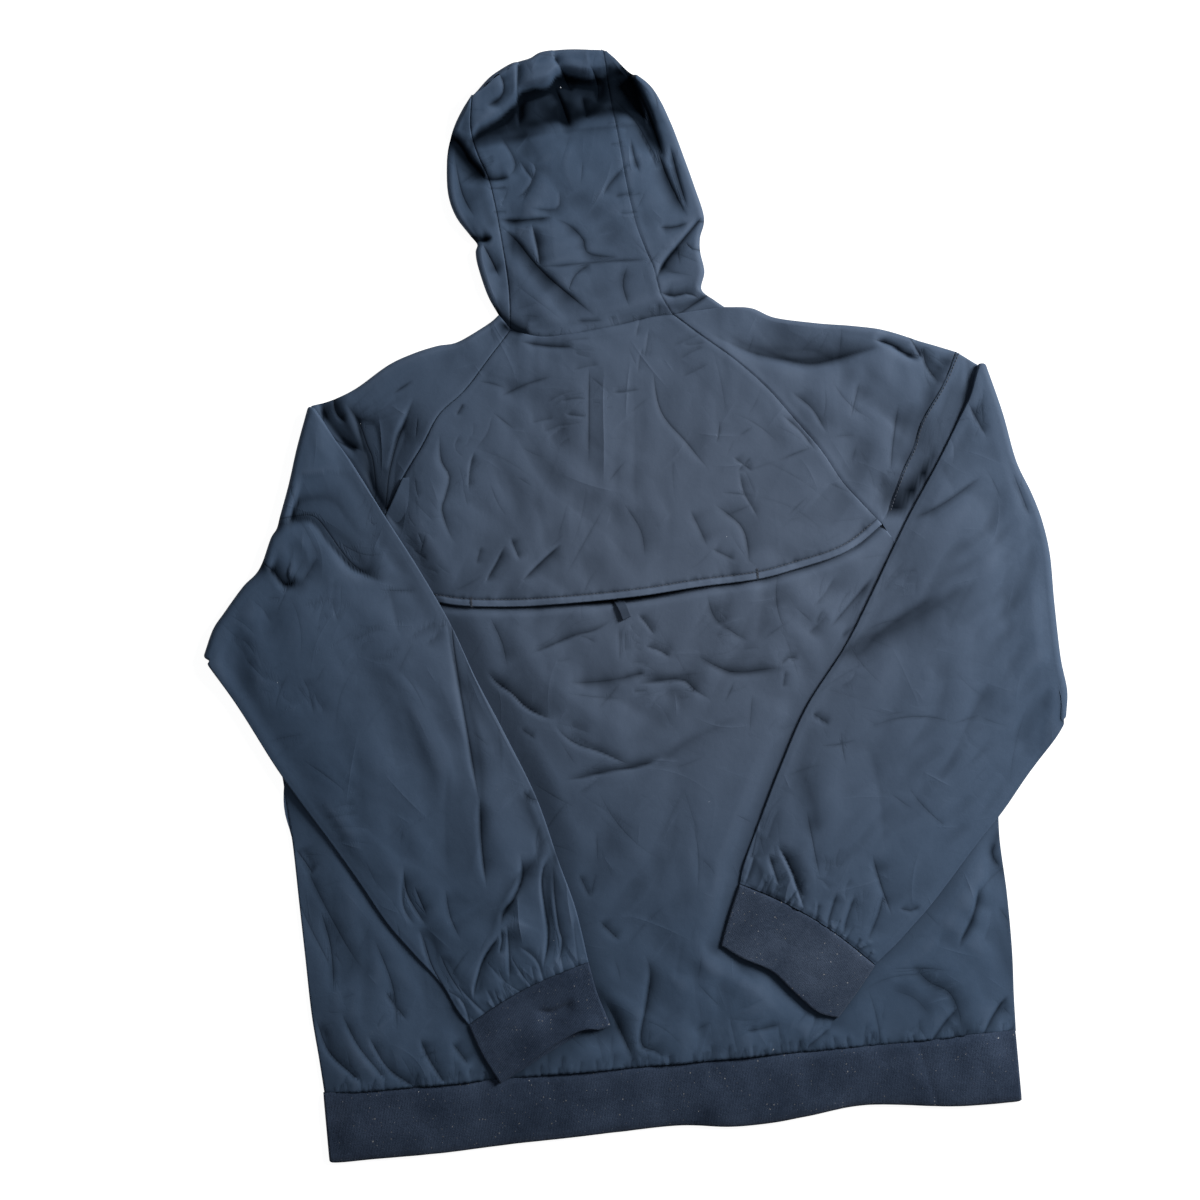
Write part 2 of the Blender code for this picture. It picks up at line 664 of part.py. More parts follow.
# Zip hardware
PLATE = (8.6, 13.0, 1.2)
LUG = (1.1, 3.0, 2.5)
LUG_X = 2.6
PIN_RADIUS = 0.55
EYE_RADIUS = 1.25
EYE_HOLE = 0.85
EYE_WIDE = 3.2
PULL = (5.0, 20.0, 1.0)
NECK = (EYE_WIDE, 3.0, 1.0)
PLATE_Z = LIFT - SEAM_GAP - PLATE[2] / 2
PIN_Z = LIFT - SEAM_GAP - PLATE[2] - 1.75
PIN_Y = SLIDER_Y - 1.0


def box(size, centre):
    bpy.ops.mesh.primitive_cube_add(size=1, location=np.array(centre) * MM)
    piece = bpy.context.object
    piece.scale = np.array(size) * MM
    bpy.ops.object.transform_apply(location=False, rotation=False, scale=True)
    return piece


def rod(radius, length, centre):
    bpy.ops.mesh.primitive_cylinder_add(
        radius=radius * MM, depth=length * MM, vertices=16, location=np.array(centre) * MM,
        rotation=(0, math.pi / 2, 0))
    return bpy.context.object


def move_to(piece, collection):
    for old in list(piece.users_collection):
        old.objects.unlink(piece)
    collection.objects.link(piece)


def combine(target, other, operation):
    change = target.modifiers.new(operation.lower(), "BOOLEAN")
    change.operation = operation
    change.object = other
    other.hide_render = True
    other.display_type = "WIRE"
    move_to(other, CUTTERS)


def finish_hard(piece, name):
    piece.name = name
    piece.data.name = name
    piece.data.materials.append(material(name + "_finish", ZINC, 0.35, -1))
    move_to(piece, COLLECTION)


def make_slider():
    """A plate under the tapes, with two lugs that hold the pin for the pull."""
    plate = box(PLATE, (ZIP_X, SLIDER_Y, PLATE_Z))
    finish_hard(plate, "zip_slider")
    lug_z = PLATE_Z - PLATE[2] / 2 - LUG[2] / 2 + 0.1
    for side in (-1, 1):
        combine(plate, box(LUG, (ZIP_X + side * LUG_X, PIN_Y, lug_z)), "UNION")
    combine(plate, rod(PIN_RADIUS, 2 * LUG_X, (ZIP_X, PIN_Y, PIN_Z)), "UNION")


def make_pull():
    """The pull tab, lying towards the hem. Its origin is on the pin."""
    eye = rod(EYE_RADIUS, EYE_WIDE, (ZIP_X, PIN_Y, PIN_Z))
    finish_hard(eye, "zip_pull")
    tab_z = PIN_Z - EYE_RADIUS + PULL[2] / 2
    combine(eye, box(NECK, (ZIP_X, PIN_Y - EYE_HOLE - 0.1 - NECK[1] / 2, tab_z)), "UNION")
    combine(eye, box(PULL, (ZIP_X, PIN_Y - NECK[1] - PULL[1] / 2, tab_z)), "UNION")
    combine(eye, rod(EYE_HOLE, 2 * EYE_WIDE, (ZIP_X, PIN_Y, PIN_Z)), "DIFFERENCE")


for old in list(bpy.data.objects):
    bpy.data.objects.remove(old, do_unlink=True)
COLLECTION = bpy.data.collections.new("windbreaker_jacket")
CUTTERS = bpy.data.collections.new("cutters")
for group in (COLLECTION, CUTTERS):
    bpy.context.scene.collection.children.link(group)

make_lower_back()
make_flap()
make_shoulder("shoulder_left", -1, RAGLAN_LEFT, SHOULDER_LEFT)
make_shoulder("shoulder_right", 1, RAGLAN_RIGHT, SHOULDER_RIGHT)
make_front("front_left", -1, RAGLAN_LEFT)
make_front("front_right", 1, RAGLAN_RIGHT)
make_tape("zip_tape_left", -1)
make_tape("zip_tape_right", 1)
make_sleeve("sleeve_left", -1, RAGLAN_LEFT, SHOULDER_LEFT, SLEEVE_LEFT, LEFT_FOLD_BOW)
make_sleeve("sleeve_right", 1, RAGLAN_RIGHT, SHOULDER_RIGHT, SLEEVE_RIGHT, RIGHT_FOLD_BOW)
make_cuff("cuff_left", -1, CUFF_LEFT)
make_cuff("cuff_right", 1, CUFF_RIGHT)
make_hem()
make_loop()
make_hood_centre()
make_hood_side("hood_side_left", -1, HOOD_SEAM_LEFT, HOOD_EDGE_LEFT)
make_hood_side("hood_side_right", 1, HOOD_SEAM_RIGHT, HOOD_EDGE_RIGHT)
make_hood_folds()
make_slider()
make_pull()
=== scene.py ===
# %% [markdown]
# # A hooded windbreaker, laid flat with its back up
# The real thing is a light nylon jacket: a hood of three panels, a back with a loose vent
# flap over it, raglan shoulders, two sleeves folded over the back, and a knitted band at the
# hem and at each cuff. Every panel here is a thin shell of cloth. Its plan comes from the
# pattern pieces, and its height from layers, soft swells and creases that are drawn one by one.
# Sizes are millimetres, in the frame of the measured model that loads first.

import json
import math
from collections import namedtuple
from functools import lru_cache

import bpy
import numpy as np
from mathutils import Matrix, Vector

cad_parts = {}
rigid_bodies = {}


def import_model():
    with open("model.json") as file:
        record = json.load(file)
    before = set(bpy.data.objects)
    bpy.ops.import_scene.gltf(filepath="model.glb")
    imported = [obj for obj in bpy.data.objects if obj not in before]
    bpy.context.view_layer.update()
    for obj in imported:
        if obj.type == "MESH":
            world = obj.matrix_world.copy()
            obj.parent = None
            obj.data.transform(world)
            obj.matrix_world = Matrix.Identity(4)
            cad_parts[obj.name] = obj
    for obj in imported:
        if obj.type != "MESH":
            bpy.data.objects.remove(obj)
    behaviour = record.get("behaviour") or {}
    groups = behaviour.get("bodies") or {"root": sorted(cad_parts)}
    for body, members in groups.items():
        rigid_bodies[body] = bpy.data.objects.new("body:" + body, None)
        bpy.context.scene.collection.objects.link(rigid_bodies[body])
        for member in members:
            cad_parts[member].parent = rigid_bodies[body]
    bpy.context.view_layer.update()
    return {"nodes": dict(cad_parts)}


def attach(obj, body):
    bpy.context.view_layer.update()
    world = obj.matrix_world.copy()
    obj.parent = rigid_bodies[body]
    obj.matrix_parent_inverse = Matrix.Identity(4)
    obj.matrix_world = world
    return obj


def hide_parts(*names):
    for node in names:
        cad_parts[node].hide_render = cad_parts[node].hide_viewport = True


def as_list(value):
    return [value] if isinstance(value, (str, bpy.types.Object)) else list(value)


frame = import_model()
MM = 0.001
print("parts to dress:", len(frame["nodes"]))

# %% [markdown]
# ## Smooth lines
# A pattern cutter draws seams and edges as smooth curves through a few marks. The same is done
# here: a Catmull-Rom spline goes through every mark, so a seam can be given by a short list of
# places. Even steps along it make even cloth; even steps between marks keep two facing edges
# matched mark for mark.

# %% Smooth lines through marks
def marked(text):
    """A list of marks, from text such as "-81,237 -103,213"."""
    return [tuple(map(float, mark.split(","))) for mark in text.split()]


def spline(marks, count):
    """Points on a smooth line, with an even number of steps between each two marks."""
    p = np.array(marks, float)
    p = np.vstack([2 * p[0] - p[1], p, 2 * p[-1] - p[-2]])
    at = np.linspace(0, len(p) - 3, count)
    k = np.minimum(at.astype(int), len(p) - 4)
    t = (at - k)[:, None]
    a, b, c, d = p[k], p[k + 1], p[k + 2], p[k + 3]
    return 0.5 * (2 * b + (c - a) * t + (2 * a - 5 * b + 4 * c - d) * t ** 2
                  + (3 * b - a - 3 * c + d) * t ** 3)


def length_of(line):
    return np.r_[0, np.cumsum(np.linalg.norm(np.diff(line, axis=0), axis=1))]


def curve(marks, count=None, step=2.0):
    """The same smooth line with even steps along its length."""
    fine = spline(marks, 12 * len(marks))
    run = length_of(fine)
    count = count or max(int(run[-1] / step), 2) + 1
    at = np.linspace(0, run[-1], count)
    return np.column_stack([np.interp(at, run, fine[:, k]) for k in range(fine.shape[1])])


def smooth(t):
    t = np.clip(t, 0, 1)
    return t * t * (3 - 2 * t)


def mix(a, b, t):
    return a + (b - a) * t


# %% [markdown]
# ## How near a point is to a line
# Creases, seams, hems and shadows all ask the same question of the cloth: how far is this
# point from that line, on which side, and how far along it? One helper answers for every
# point of a panel at once.

# %% Distance from a line, and from a shape
def nearest(xy, line):
    """For each plan point: how far along a line (0 to 1) and how far off it, + on its left."""
    run = np.diff(line, axis=0)
    length = np.maximum(np.linalg.norm(run, axis=1), 1e-6)
    passed = np.r_[0, np.cumsum(length)]
    best = np.full(len(xy), np.inf)
    along = np.zeros(len(xy))
    side = np.ones(len(xy))
    for start, r, size, before in zip(line[:-1], run, length, passed):
        away = xy - start
        t = np.clip(away @ r / size ** 2, 0, 1)
        miss = away - t[:, None] * r
        d = np.hypot(miss[:, 0], miss[:, 1])
        closer = d < best
        best[closer] = d[closer]
        along[closer] = ((before + t * size) / passed[-1])[closer]
        side[closer] = np.where(r[0] * away[:, 1] - r[1] * away[:, 0] >= 0, 1, -1)[closer]
    return along, best * side


def gap_to(points, line):
    """How far each point of a list or a grid is from a line, in plan."""
    return np.abs(nearest(points[..., :2].reshape(-1, 2), line)[1]).reshape(points.shape[:-1])


def near_line(xy, line, reach):
    """Which points lie in the box round a line, grown by reach."""
    return np.all((xy > line.min(axis=0) - reach) & (xy < line.max(axis=0) + reach), axis=1)


def inside(xy, outline):
    """True where a plan point is in a closed outline."""
    result = np.zeros(len(xy), bool)
    x, y = xy.T
    for (x0, y0), (x1, y1) in zip(outline, np.roll(outline, -1, axis=0)):
        if y0 != y1:
            crosses = (y0 > y) != (y1 > y)
            result ^= crosses & (x < (x1 - x0) * (y - y0) / (y1 - y0) + x0)
    return result


def clear_of(xy, outline):
    """Distance outside a closed outline, and zero within it."""
    closed = np.vstack([outline, outline[:1]])
    return np.where(inside(xy, outline), 0, gap_to(xy, closed))


# %% [markdown]
# ## Creases
# Crisp nylon does not wave like wool. It keeps a memory of each fold, so a laid jacket shows
# creases of uneven length and depth with calm cloth between them. A crease here is a line of
# marks with a width and a depth. It fades at both ends, and its lean lifts a lip on one side,
# because a real fold pushes cloth up beside the hollow that it makes. A cloth simulation could
# find such folds by chance, but not these folds in these places, so they are drawn.

# %% What one crease does to the cloth
Crease = namedtuple("Crease", "line width depth lean start finish", defaults=(0, 0))
FADE_RUN = 0.3  # share of a crease's length over which an end fades


def creases_from(table):
    """One crease for each row: x,y of its marks | width depth lean, then 1 for each full end."""
    rows = [row.split("|") for row in table.strip().splitlines()]
    return [Crease(marked(line), *map(float, sizes.split())) for line, sizes in rows]


def fading(crease, t):
    """Full depth along the middle, down to nothing at an end that isn't left full."""
    first, last = smooth(t / FADE_RUN), smooth((1 - t) / FADE_RUN)
    return mix(first, 1, crease.start) * mix(last, 1, crease.finish)


def creased(xy, creases):
    """How far the creases in a list move each plan point. Where two cross, the deeper one wins."""
    up, down = np.zeros(len(xy)), np.zeros(len(xy))
    for crease in creases:
        line = curve(crease.line, step=5)
        near = near_line(xy, line, 3.2 * crease.width)
        if not near.any():
            continue
        t, off = nearest(xy[near], line)
        taper = fading(crease, t)
        slim = min(1, 0.15 * length_of(line)[-1] / crease.width)
        steep = slim * 2.0 ** (crease.lean * np.sign(off))
        q = off / (crease.width * (0.6 + 0.4 * taper) * steep)
        valley = np.exp(-np.abs(q) ** 1.25)
        lip = 0.8 * crease.lean * q * np.exp(-np.abs(q) ** 1.5)
        moved = -crease.depth * slim * taper * (valley + lip)
        up[near] += np.maximum(moved, 0) ** 3
        down[near] += np.maximum(-moved, 0) ** 3
    return np.cbrt(up) - np.cbrt(down)


def smoothed_by_hand(creases):
    """Leans each fold as the hand pushed it: steep at the upper right, gentle at the lower left."""
    leaned = []
    for crease in creases:
        run = np.array(crease.line[-1], float) - crease.line[0]
        side = 1 if run @ [-0.37, 0.93] < 0 else -1
        lean = crease.lean if crease.depth < 0 else side * max(abs(crease.lean), 0.35)
        leaned.append(crease._replace(lean=lean))
    return leaned

# %% A few creases that cross
def crumple(place, heading, seed, count=4, spread=8, size=12, depth=0.38):
    """A few short sharp creases that cross near one place, most of them along one heading."""
    chance = np.random.default_rng(seed)
    creases = []
    for _ in range(count):
        turn = math.radians(heading + chance.normal(0, 13))
        along = np.array([math.cos(turn), math.sin(turn)])
        middle = np.array(place) + chance.normal(0, spread, 2)
        half = along * size * chance.uniform(0.6, 1.7)
        bend = np.array([-along[1], along[0]]) * chance.normal(0, 2.4)
        line = [middle - half, middle + bend, middle + half]
        creases.append(Crease(line, chance.uniform(2.4, 4.0), depth * chance.uniform(0.5, 1.3),
                              chance.choice([-0.6, 0.6])))
    return creases


def crumples(places, seed):
    """A crumple at each place, given as x, y and heading. Each one has its own seed."""
    return [crease for k, (x, y, heading) in enumerate(places)
            for crease in crumple((x, y), heading, seed + k)]


def gathers(seam, into, seed, count, reach, width, depth, where=(0, 1)):
    """Uneven little pleats that run into the cloth from a seam, towards the point into."""
    chance = np.random.default_rng(seed)
    line = curve(seam, step=1.5)
    pleats = []
    for place in np.sort(chance.uniform(*where, count)):
        k = min(int(place * (len(line) - 1)), len(line) - 2)
        along = line[k + 1] - line[k]
        along /= np.linalg.norm(along)
        inward = np.array([-along[1], along[0]])
        inward *= np.sign(inward @ (np.array(into) - line[k]))
        turn = along * chance.normal(0, 0.22) + inward
        size = reach * chance.uniform(0.3, 1.0) ** 1.3
        bend = along * chance.normal(0, 0.07) * size
        marks = [line[k] - turn * 1.5, line[k] + turn * size * 0.5 + bend, line[k] + turn * size]
        amount = depth * chance.uniform(0.35, 1.1) * (1 if chance.random() < 0.72 else -0.7)
        pleats.append(Crease(marks, width * chance.uniform(0.7, 1.5), amount,
                             chance.uniform(-0.7, 0.7), 1, 0))
    return pleats


# %% [markdown]
# ## Soft unevenness
# Between the creases the cloth is never a true plane. Smooth noise gives it slow swells, and
# many short faint lines give the marks of old folds that a packed nylon jacket keeps. Both
# have a fixed seed, so the jacket comes out the same every time.

# %% Smooth noise over the cloth
def ripple(xy, size, seed):
    """Smooth noise, about -1 to 1, with lumps of the given size."""
    chance = np.random.default_rng(seed)
    heading = chance.uniform(0, 2 * math.pi, (64, 64))
    slopes = np.stack([np.cos(heading), np.sin(heading)], axis=-1)
    p = xy / size + 500
    cell = np.floor(p).astype(int)
    f = p - cell
    w = f * f * f * (f * (6 * f - 15) + 10)
    total = 0
    for i in (0, 1):
        for j in (0, 1):
            grad = slopes[(cell[:, 0] + i) % 64, (cell[:, 1] + j) % 64]
            dot = grad[:, 0] * (f[:, 0] - i) + grad[:, 1] * (f[:, 1] - j)
            share = (w[:, 0] if i else 1 - w[:, 0]) * (w[:, 1] if j else 1 - w[:, 1])
            total = total + dot * share
    return total * 1.6

# %% Marks of old folds
OldFold = namedtuple("OldFold", "middle heading half width height bend")


@lru_cache
def strewn_folds(seed, spacing=23.0):
    """Short, nearly straight ridges and troughs all over the jacket, as old folds leave them."""
    chance = np.random.default_rng(seed)
    folds = []
    for _ in range(int(800 * 1000 / spacing ** 2)):
        middle = chance.uniform((-400, -500), (400, 500))
        heading = 2.2 * ripple(middle[None], 150, 3)[0] + chance.normal(0.6, 0.7)
        half = chance.uniform(7, 20) * chance.choice([1, 1, 2.2])
        width = chance.uniform(1.2, 2.8)
        folds.append(OldFold(middle, heading, half, width, chance.normal(0, 0.16),
                             chance.normal(0, 0.005)))
    return folds


def over_folds(xy, seed):
    """For each strewn fold near some of the points: the fold, those points, its fade, off it."""
    order = np.argsort(xy[:, 0])
    x, y = xy[order].T
    for fold in strewn_folds(seed):
        reach = fold.half + 4 * fold.width
        first, last = np.searchsorted(x, (fold.middle[0] - reach, fold.middle[0] + reach))
        near = order[first:last][np.abs(y[first:last] - fold.middle[1]) < reach]
        if len(near):
            away = xy[near] - fold.middle
            along = away @ [math.cos(fold.heading), math.sin(fold.heading)]
            off = away @ [-math.sin(fold.heading), math.cos(fold.heading)] + fold.bend * along ** 2
            yield fold, near, np.clip(1 - (along / fold.half) ** 2, 0, 1) ** 1.5, off


def old_folds(xy, seed):
    z = np.zeros(len(xy))
    for fold, near, fade, off in over_folds(xy, seed):
        z[near] += fold.height * fade * np.exp(-np.abs(off) / fold.width)
    return z

# %% The sharpest line near each point
def crisp_lines(xy, creases, seed, seams=()):
    """The sharpest line near each point: how far off it is, and how deep its sharp part is."""
    best = np.zeros(len(xy))
    away = np.full(len(xy), 9.0)
    depth = np.zeros(len(xy))

    def offer(near, off, amount):
        close = np.exp(-(off / 3.2) ** 2)
        strength = np.abs(amount) * close
        wins = strength > best[near]
        where = near[wins]
        best[where], away[where], depth[where] = strength[wins], off[wins], (amount * close)[wins]

    for fold, near, fade, off in over_folds(xy, seed):
        offer(near, off, -0.6 * fold.height * fade)
    for crease in creases:
        line = curve(crease.line, step=5)
        near = np.flatnonzero(near_line(xy, line, 8))
        if len(near) and crease.width < 13:
            t, off = nearest(xy[near], line)
            sharp = min(0.03 + abs(crease.depth) * 0.17, 0.5)
            offer(near, off, np.sign(crease.depth) * sharp * fading(crease, t))
    for line in seams:
        near = np.flatnonzero(near_line(xy, line, 8))
        if len(near):
            offer(near, nearest(xy[near], line)[1], np.full(len(near), 0.5))
    return away, depth

# %% Soft folds between the creases
def long_folds(xy, heading, size, seed):
    """Soft folds that run one way, about five times as long as wide."""
    turn = math.radians(heading)
    along = xy @ [math.cos(turn), math.sin(turn)]
    off = xy @ [-math.sin(turn), math.cos(turn)]
    off = off + 0.5 * size * ripple(xy, 3.2 * size, seed + 1)
    wave = ripple(np.column_stack([along / 5, off]), size, seed)
    return np.sign(wave) * np.abs(wave) ** 0.85


def unevenness(xy, amount=1.0, seed=3, headings=(62, -48, 88)):
    """Swells, long folds along the given headings, and the marks of old folds."""
    z = 2.4 * ripple(xy, 120, seed) + 0.2 * ripple(xy, 24, seed + 9)
    for k, (heading, size, height) in enumerate(zip(headings, (40, 28, 17), (2.2, 1.5, 0.55))):
        here = smooth(0.5 + 1.3 * ripple(xy, 130, seed + 40 + k))
        z = z + height * here * long_folds(xy, heading, size, seed + 50 + 3 * k)
    return amount * (z + old_folds(xy, seed))


# %% [markdown]
# ## From rows of points to a shell of cloth
# A panel is a grid: rows of points that lie on its outer face. A surface modifier then gives
# it a real wall, towards the inside, and closes the rim, as the two faces of cloth are. Each
# panel also gets a flat map in metres, so a weave can follow the thread lines of the panel.

# %% Walls, and painted shade in folds and painted light on ridges
NYLON_WALL = 0.45
RIB_WALL = 1.9


def blurred(z, reach, closed=False):
    """A soft average of heights over a few grid steps each way."""
    for axis in (0, 1):
        wrap = closed and axis == 1
        pad = [(reach, reach) if k == axis else (0, 0) for k in (0, 1)]
        padded = np.pad(z, pad, mode="wrap" if wrap else "edge")
        weights = np.bartlett(2 * reach + 3)[1:-1]
        size = z.shape[axis]
        parts = [w * np.take(padded, range(k, k + size), axis) for k, w in enumerate(weights)]
        z = sum(parts) / weights.sum()
    return z


def fold_shade_ridge_light_of(rows, closed=False):
    """Painted light: zero deep in a fold, where shade is painted in, to one on a ridge, painted
    pale as a highlight.
    """
    z = rows[..., 2]
    step = np.median(np.linalg.norm(np.diff(rows, axis=0), axis=2))
    near, far = (blurred(z, max(int(size / step), 1), closed) - z for size in (7, 22))
    return np.clip(0.60 - 0.42 * np.maximum(near, -0.35) - 0.115 * np.maximum(far, -0.8), 0, 1)


Folds = namedtuple("Folds", "creases seed seams", defaults=((),))

# %% The mesh of a piece of cloth
def in_scene(name, data):
    piece = bpy.data.objects.new(name, data)
    bpy.context.scene.collection.objects.link(piece)
    return piece


def cloth_mesh(name, points, faces, flat, marks):
    """A smooth mesh object from points in mm, with its flat map in metres and marks per point."""
    mesh = bpy.data.meshes.new(name)
    mesh.from_pydata((points * MM).tolist(), [], faces)
    corner = np.empty(len(mesh.loops), dtype=np.int32)
    mesh.loops.foreach_get("vertex_index", corner)
    cloth_map = mesh.uv_layers.new(name="thread")
    cloth_map.data.foreach_set("uv", (flat * MM)[corner].astype(np.float32).ravel())
    for label, values in marks.items():
        mark = mesh.attributes.new(label, "FLOAT", "POINT")
        filled = np.pad(values, (0, len(points) - len(values)))
        mark.data.foreach_set("value", filled.astype(np.float32))
    mesh.polygons.foreach_set("use_smooth", np.ones(len(mesh.polygons), bool))
    print(name, "points:", len(points))
    return in_scene(name, mesh)


def flat_map(rows):
    """Width and length along the cloth, from the middle of each row and from the first row."""
    across = np.linalg.norm(np.diff(rows, axis=1), axis=2)
    along = np.linalg.norm(np.diff(rows, axis=0), axis=2)
    u = np.pad(np.cumsum(across, axis=1), ((0, 0), (1, 0)))
    v = np.pad(np.cumsum(along, axis=0), ((1, 0), (0, 0)))
    middle = rows.shape[1] // 2
    return np.stack([(u - u[:, middle: middle + 1]).ravel(), v.ravel()], axis=1)


def marks_of(rows, folds, closed=False, shade=None):
    xy = rows[..., :2].reshape(-1, 2)
    # The mark that paints shade into folds and light onto ridges. A panel's shade function paints
    # more shade, or light where it is negative.
    fold_shade_ridge_light = fold_shade_ridge_light_of(rows, closed).ravel()
    if shade is not None:
        fold_shade_ridge_light = np.clip(fold_shade_ridge_light * (1 - shade(xy)), 0, 1)
    marks = {"fold_shade_ridge_light": fold_shade_ridge_light}
    if folds is not None:
        marks["line_off"], marks["line_depth"] = crisp_lines(xy, *folds)
    return marks

# %% Make a shell from rows of points
def grid_quads(index, closed=False):
    here = index if closed else index[:, :-1]
    after = np.roll(index, -1, axis=1) if closed else index[:, 1:]
    return np.stack([here[:-1], after[:-1], after[1:], here[1:]], axis=-1).reshape(-1, 4)


def shell(name, rows, wall=NYLON_WALL, closed=False, flip=False, folds=None, shade=None):
    """A shell of cloth whose outer face goes through the rows. Closed rows make a tube."""
    rows = np.asarray(rows, float)
    quads = grid_quads(np.arange(rows[..., 0].size).reshape(rows.shape[:2]), closed)
    piece = cloth_mesh(name, rows.reshape(-1, 3), (quads[:, ::-1] if flip else quads).tolist(),
                       flat_map(rows), marks_of(rows, folds, closed, shade))
    if wall:
        solid = piece.modifiers.new("wall", "SOLIDIFY")
        solid.thickness = wall * MM
        solid.offset = -1
    piece.modifiers.new("flat_up_to_the_rim", "WEIGHTED_NORMAL")
    return piece


COARSE = 3


def height_shell(name, rows, wall=NYLON_WALL, folds=None, shade=None):
    """A shell for cloth that lies as a height: its inner face is coarser, and safely below."""
    rows = np.asarray(rows, float)
    count, wide = (1 + COARSE * ((size - 1) // COARSE) for size in rows.shape[:2])
    rows = rows[:count, :wide]
    padded = np.pad(rows[..., 2], COARSE, mode="edge")
    low = rows[..., 2]
    for i in range(2 * COARSE + 1):
        for j in range(2 * COARSE + 1):
            low = np.minimum(low, padded[i:i + count, j:j + wide])
    inner = np.concatenate([rows[..., :2], (low - wall)[..., None]], axis=2)[::COARSE, ::COARSE]
    top = np.arange(count * wide).reshape(count, wide)
    below = top.size + np.arange(inner[..., 0].size).reshape(inner.shape[:2])
    faces = grid_quads(top).tolist() + grid_quads(below)[:, ::-1].tolist()
    for top_rim, low_rim in ((top[0], below[0]), (top[:, -1], below[:, -1]),
                             (top[-1, ::-1], below[-1, ::-1]), (top[::-1, 0], below[::-1, 0])):
        for k in range(len(low_rim) - 1):
            edge = top_rim[COARSE * k: COARSE * (k + 1) + 1][::-1]
            faces.append([*edge.tolist(), int(low_rim[k]), int(low_rim[k + 1])])
    flat = np.vstack([flat_map(rows), flat_map(inner)])
    piece = cloth_mesh(name, np.vstack([rows.reshape(-1, 3), inner.reshape(-1, 3)]), faces, flat,
                       marks_of(rows, folds, shade=shade))
    piece.modifiers.new("flat_up_to_the_rim", "WEIGHTED_NORMAL")
    return piece

# %% Straight lines across the flat
def between(left, right, across):
    """A plan grid from a left edge to a right edge."""
    u = np.linspace(0, 1, across)[None, :, None]
    return left[:, None] * (1 - u) + right[:, None] * u


def patch(left, right, low, high):
    """A plan grid that fits four curved edges. Left and right go from low to high."""
    u = np.linspace(0, 1, len(low))[None, :, None]
    v = np.linspace(0, 1, len(left))[:, None, None]
    sides = left[:, None] * (1 - u) + right[:, None] * u
    ends = low[None] * (1 - v) + high[None] * v
    corners = ((left[0] * (1 - u) + right[0] * u) * (1 - v)
               + (left[-1] * (1 - u) + right[-1] * u) * v)
    return sides + ends - corners


def with_height(plan, height):
    """Adds a height to each point of a plan grid, from a function of all its points."""
    z = height(plan.reshape(-1, 2)).reshape(plan.shape[:2])
    return np.concatenate([plan, z[..., None]], axis=2)


# %% [markdown]
# ## The pattern lines
# These are the seams and edges of the jacket as it lies, in millimetres: +x is the wearer's
# right, +y runs from the hem to the hood. Left and right are the wearer's. Panels that meet
# share one line, so their edges fit with only the thin gap of the seam between them.

# %% Seams, edges and folds in plan
RAGLAN_LEFT = marked("""
    -81,237 -103,213 -126,188 -149,170 -166,145 -186,118 -204,88 -238,38 -282,-22 -315,-86""")
RAGLAN_RIGHT = marked("""
    61,238 80,221 111,194 135,169 157,140 178,110 198,76 226,40 270,-36 308,-118""")
SHOULDER_LEFT = marked("""
    -90,252 -100,245 -127,232 -146,230 -168,225 -190,217 -219,200 -240,192 -260,188""")
SHOULDER_RIGHT = marked("107,241 130,238 150,228 185,220 215,215 245,208 276,195 303,184")
NECK = marked("-81,237 -57,230 -36,229 0,232 18,234 45,238 61,238")
FLAP_EDGE = marked("""
    -238,38 -200,18 -161,6 -136,1 -95,-3 -57,-4 -19,-4 18,-3 63,0 114,2 149,8 181,15 203,24
    226,40""")
SIDE_LEFT = marked("-303,-411 -305,-380 -308,-340 -309,-290 -310,-240 -311,-190 -314,-140")
SIDE_RIGHT = marked("303,-411 304,-380 306,-340 306,-290 304,-240 307,-190 308,-140")
FOLD_LEFT = marked("""
    -262,188 -275,153 -285,122 -295,95 -299,84 -305,76 -314,56 -321,46 -333,36 -352,14 -363,0
    -373,-22""")
FOLD_RIGHT = marked("328,172 339,128 347,85 358,55 365,30 369,0 369,-40 370,-90 373,-120 370,-143")
SLEEVE_LEFT = list(zip(marked("""
    -262,188 -232,141 -205,88 -180,40 -156,-12 -138,-62 -118,-110 -95,-170 -81,-226 -70,-268
    -63,-316"""),
    marked("""
    -373,-22 -346,-69 -319,-122 -298,-158 -276,-194 -255,-230 -235,-266 -215,-294 -193,-323
    -181,-347 -172,-361""")))
SLEEVE_RIGHT = list(zip(marked("""
    328,172 304,131 280,91 247,41 212,-18 184,-63 146,-112 118,-163 94,-212 79,-244 74,-260"""),
    marked("""
    370,-143 357,-161 332,-189 308,-218 284,-243 251,-280 235,-297 218,-313 205,-325 195,-333
    185,-341""")))
CUFF_LEFT = [((-63, -316), (-172, -361)), ((-58, -343), (-162, -389)), ((-49, -370), (-149, -415))]
CUFF_RIGHT = [((74, -260), (185, -341)), ((62, -288), (170, -360)), ((53, -312), (149, -384))]
DROP_RIGHT = marked("233,53 248,85 259,104 268,126 289,156")
HOOD_SEAM_LEFT = marked("-81,237 -79,262 -79,285 -81,316 -84,348 -88,372 -95,392 -99,415 -95,441")
HOOD_SEAM_RIGHT = marked("61,238 52,256 48,279 42,297 36,320 31,355 28,392 24,430 21,470")
HOOD_EDGE_LEFT = marked("""
    -90,252 -98,270 -104,295 -105,308 -103,315 -109,324 -119,340 -124,358 -124,378 -121,400
    -114,418 -105,432 -96,442""")
HOOD_EDGE_RIGHT = marked("""
    107,241 97,249 88,258 92,273 90,290 91,303 96,320 90,348 83,375 74,407 62,434 45,451 24,470""")
CROWN = marked("-95,441 -79,456 -59,466 -43,469 -31,474 -5,474 21,470")
HEM_BOTTOM = marked("""
    -305,-467 -299,-471 -260,-471 -198,-471 -145,-469 -96,-468 -50,-467 3,-466 48,-471 83,-471
    116,-468 168,-463 243,-471 294,-472 302,-471""")
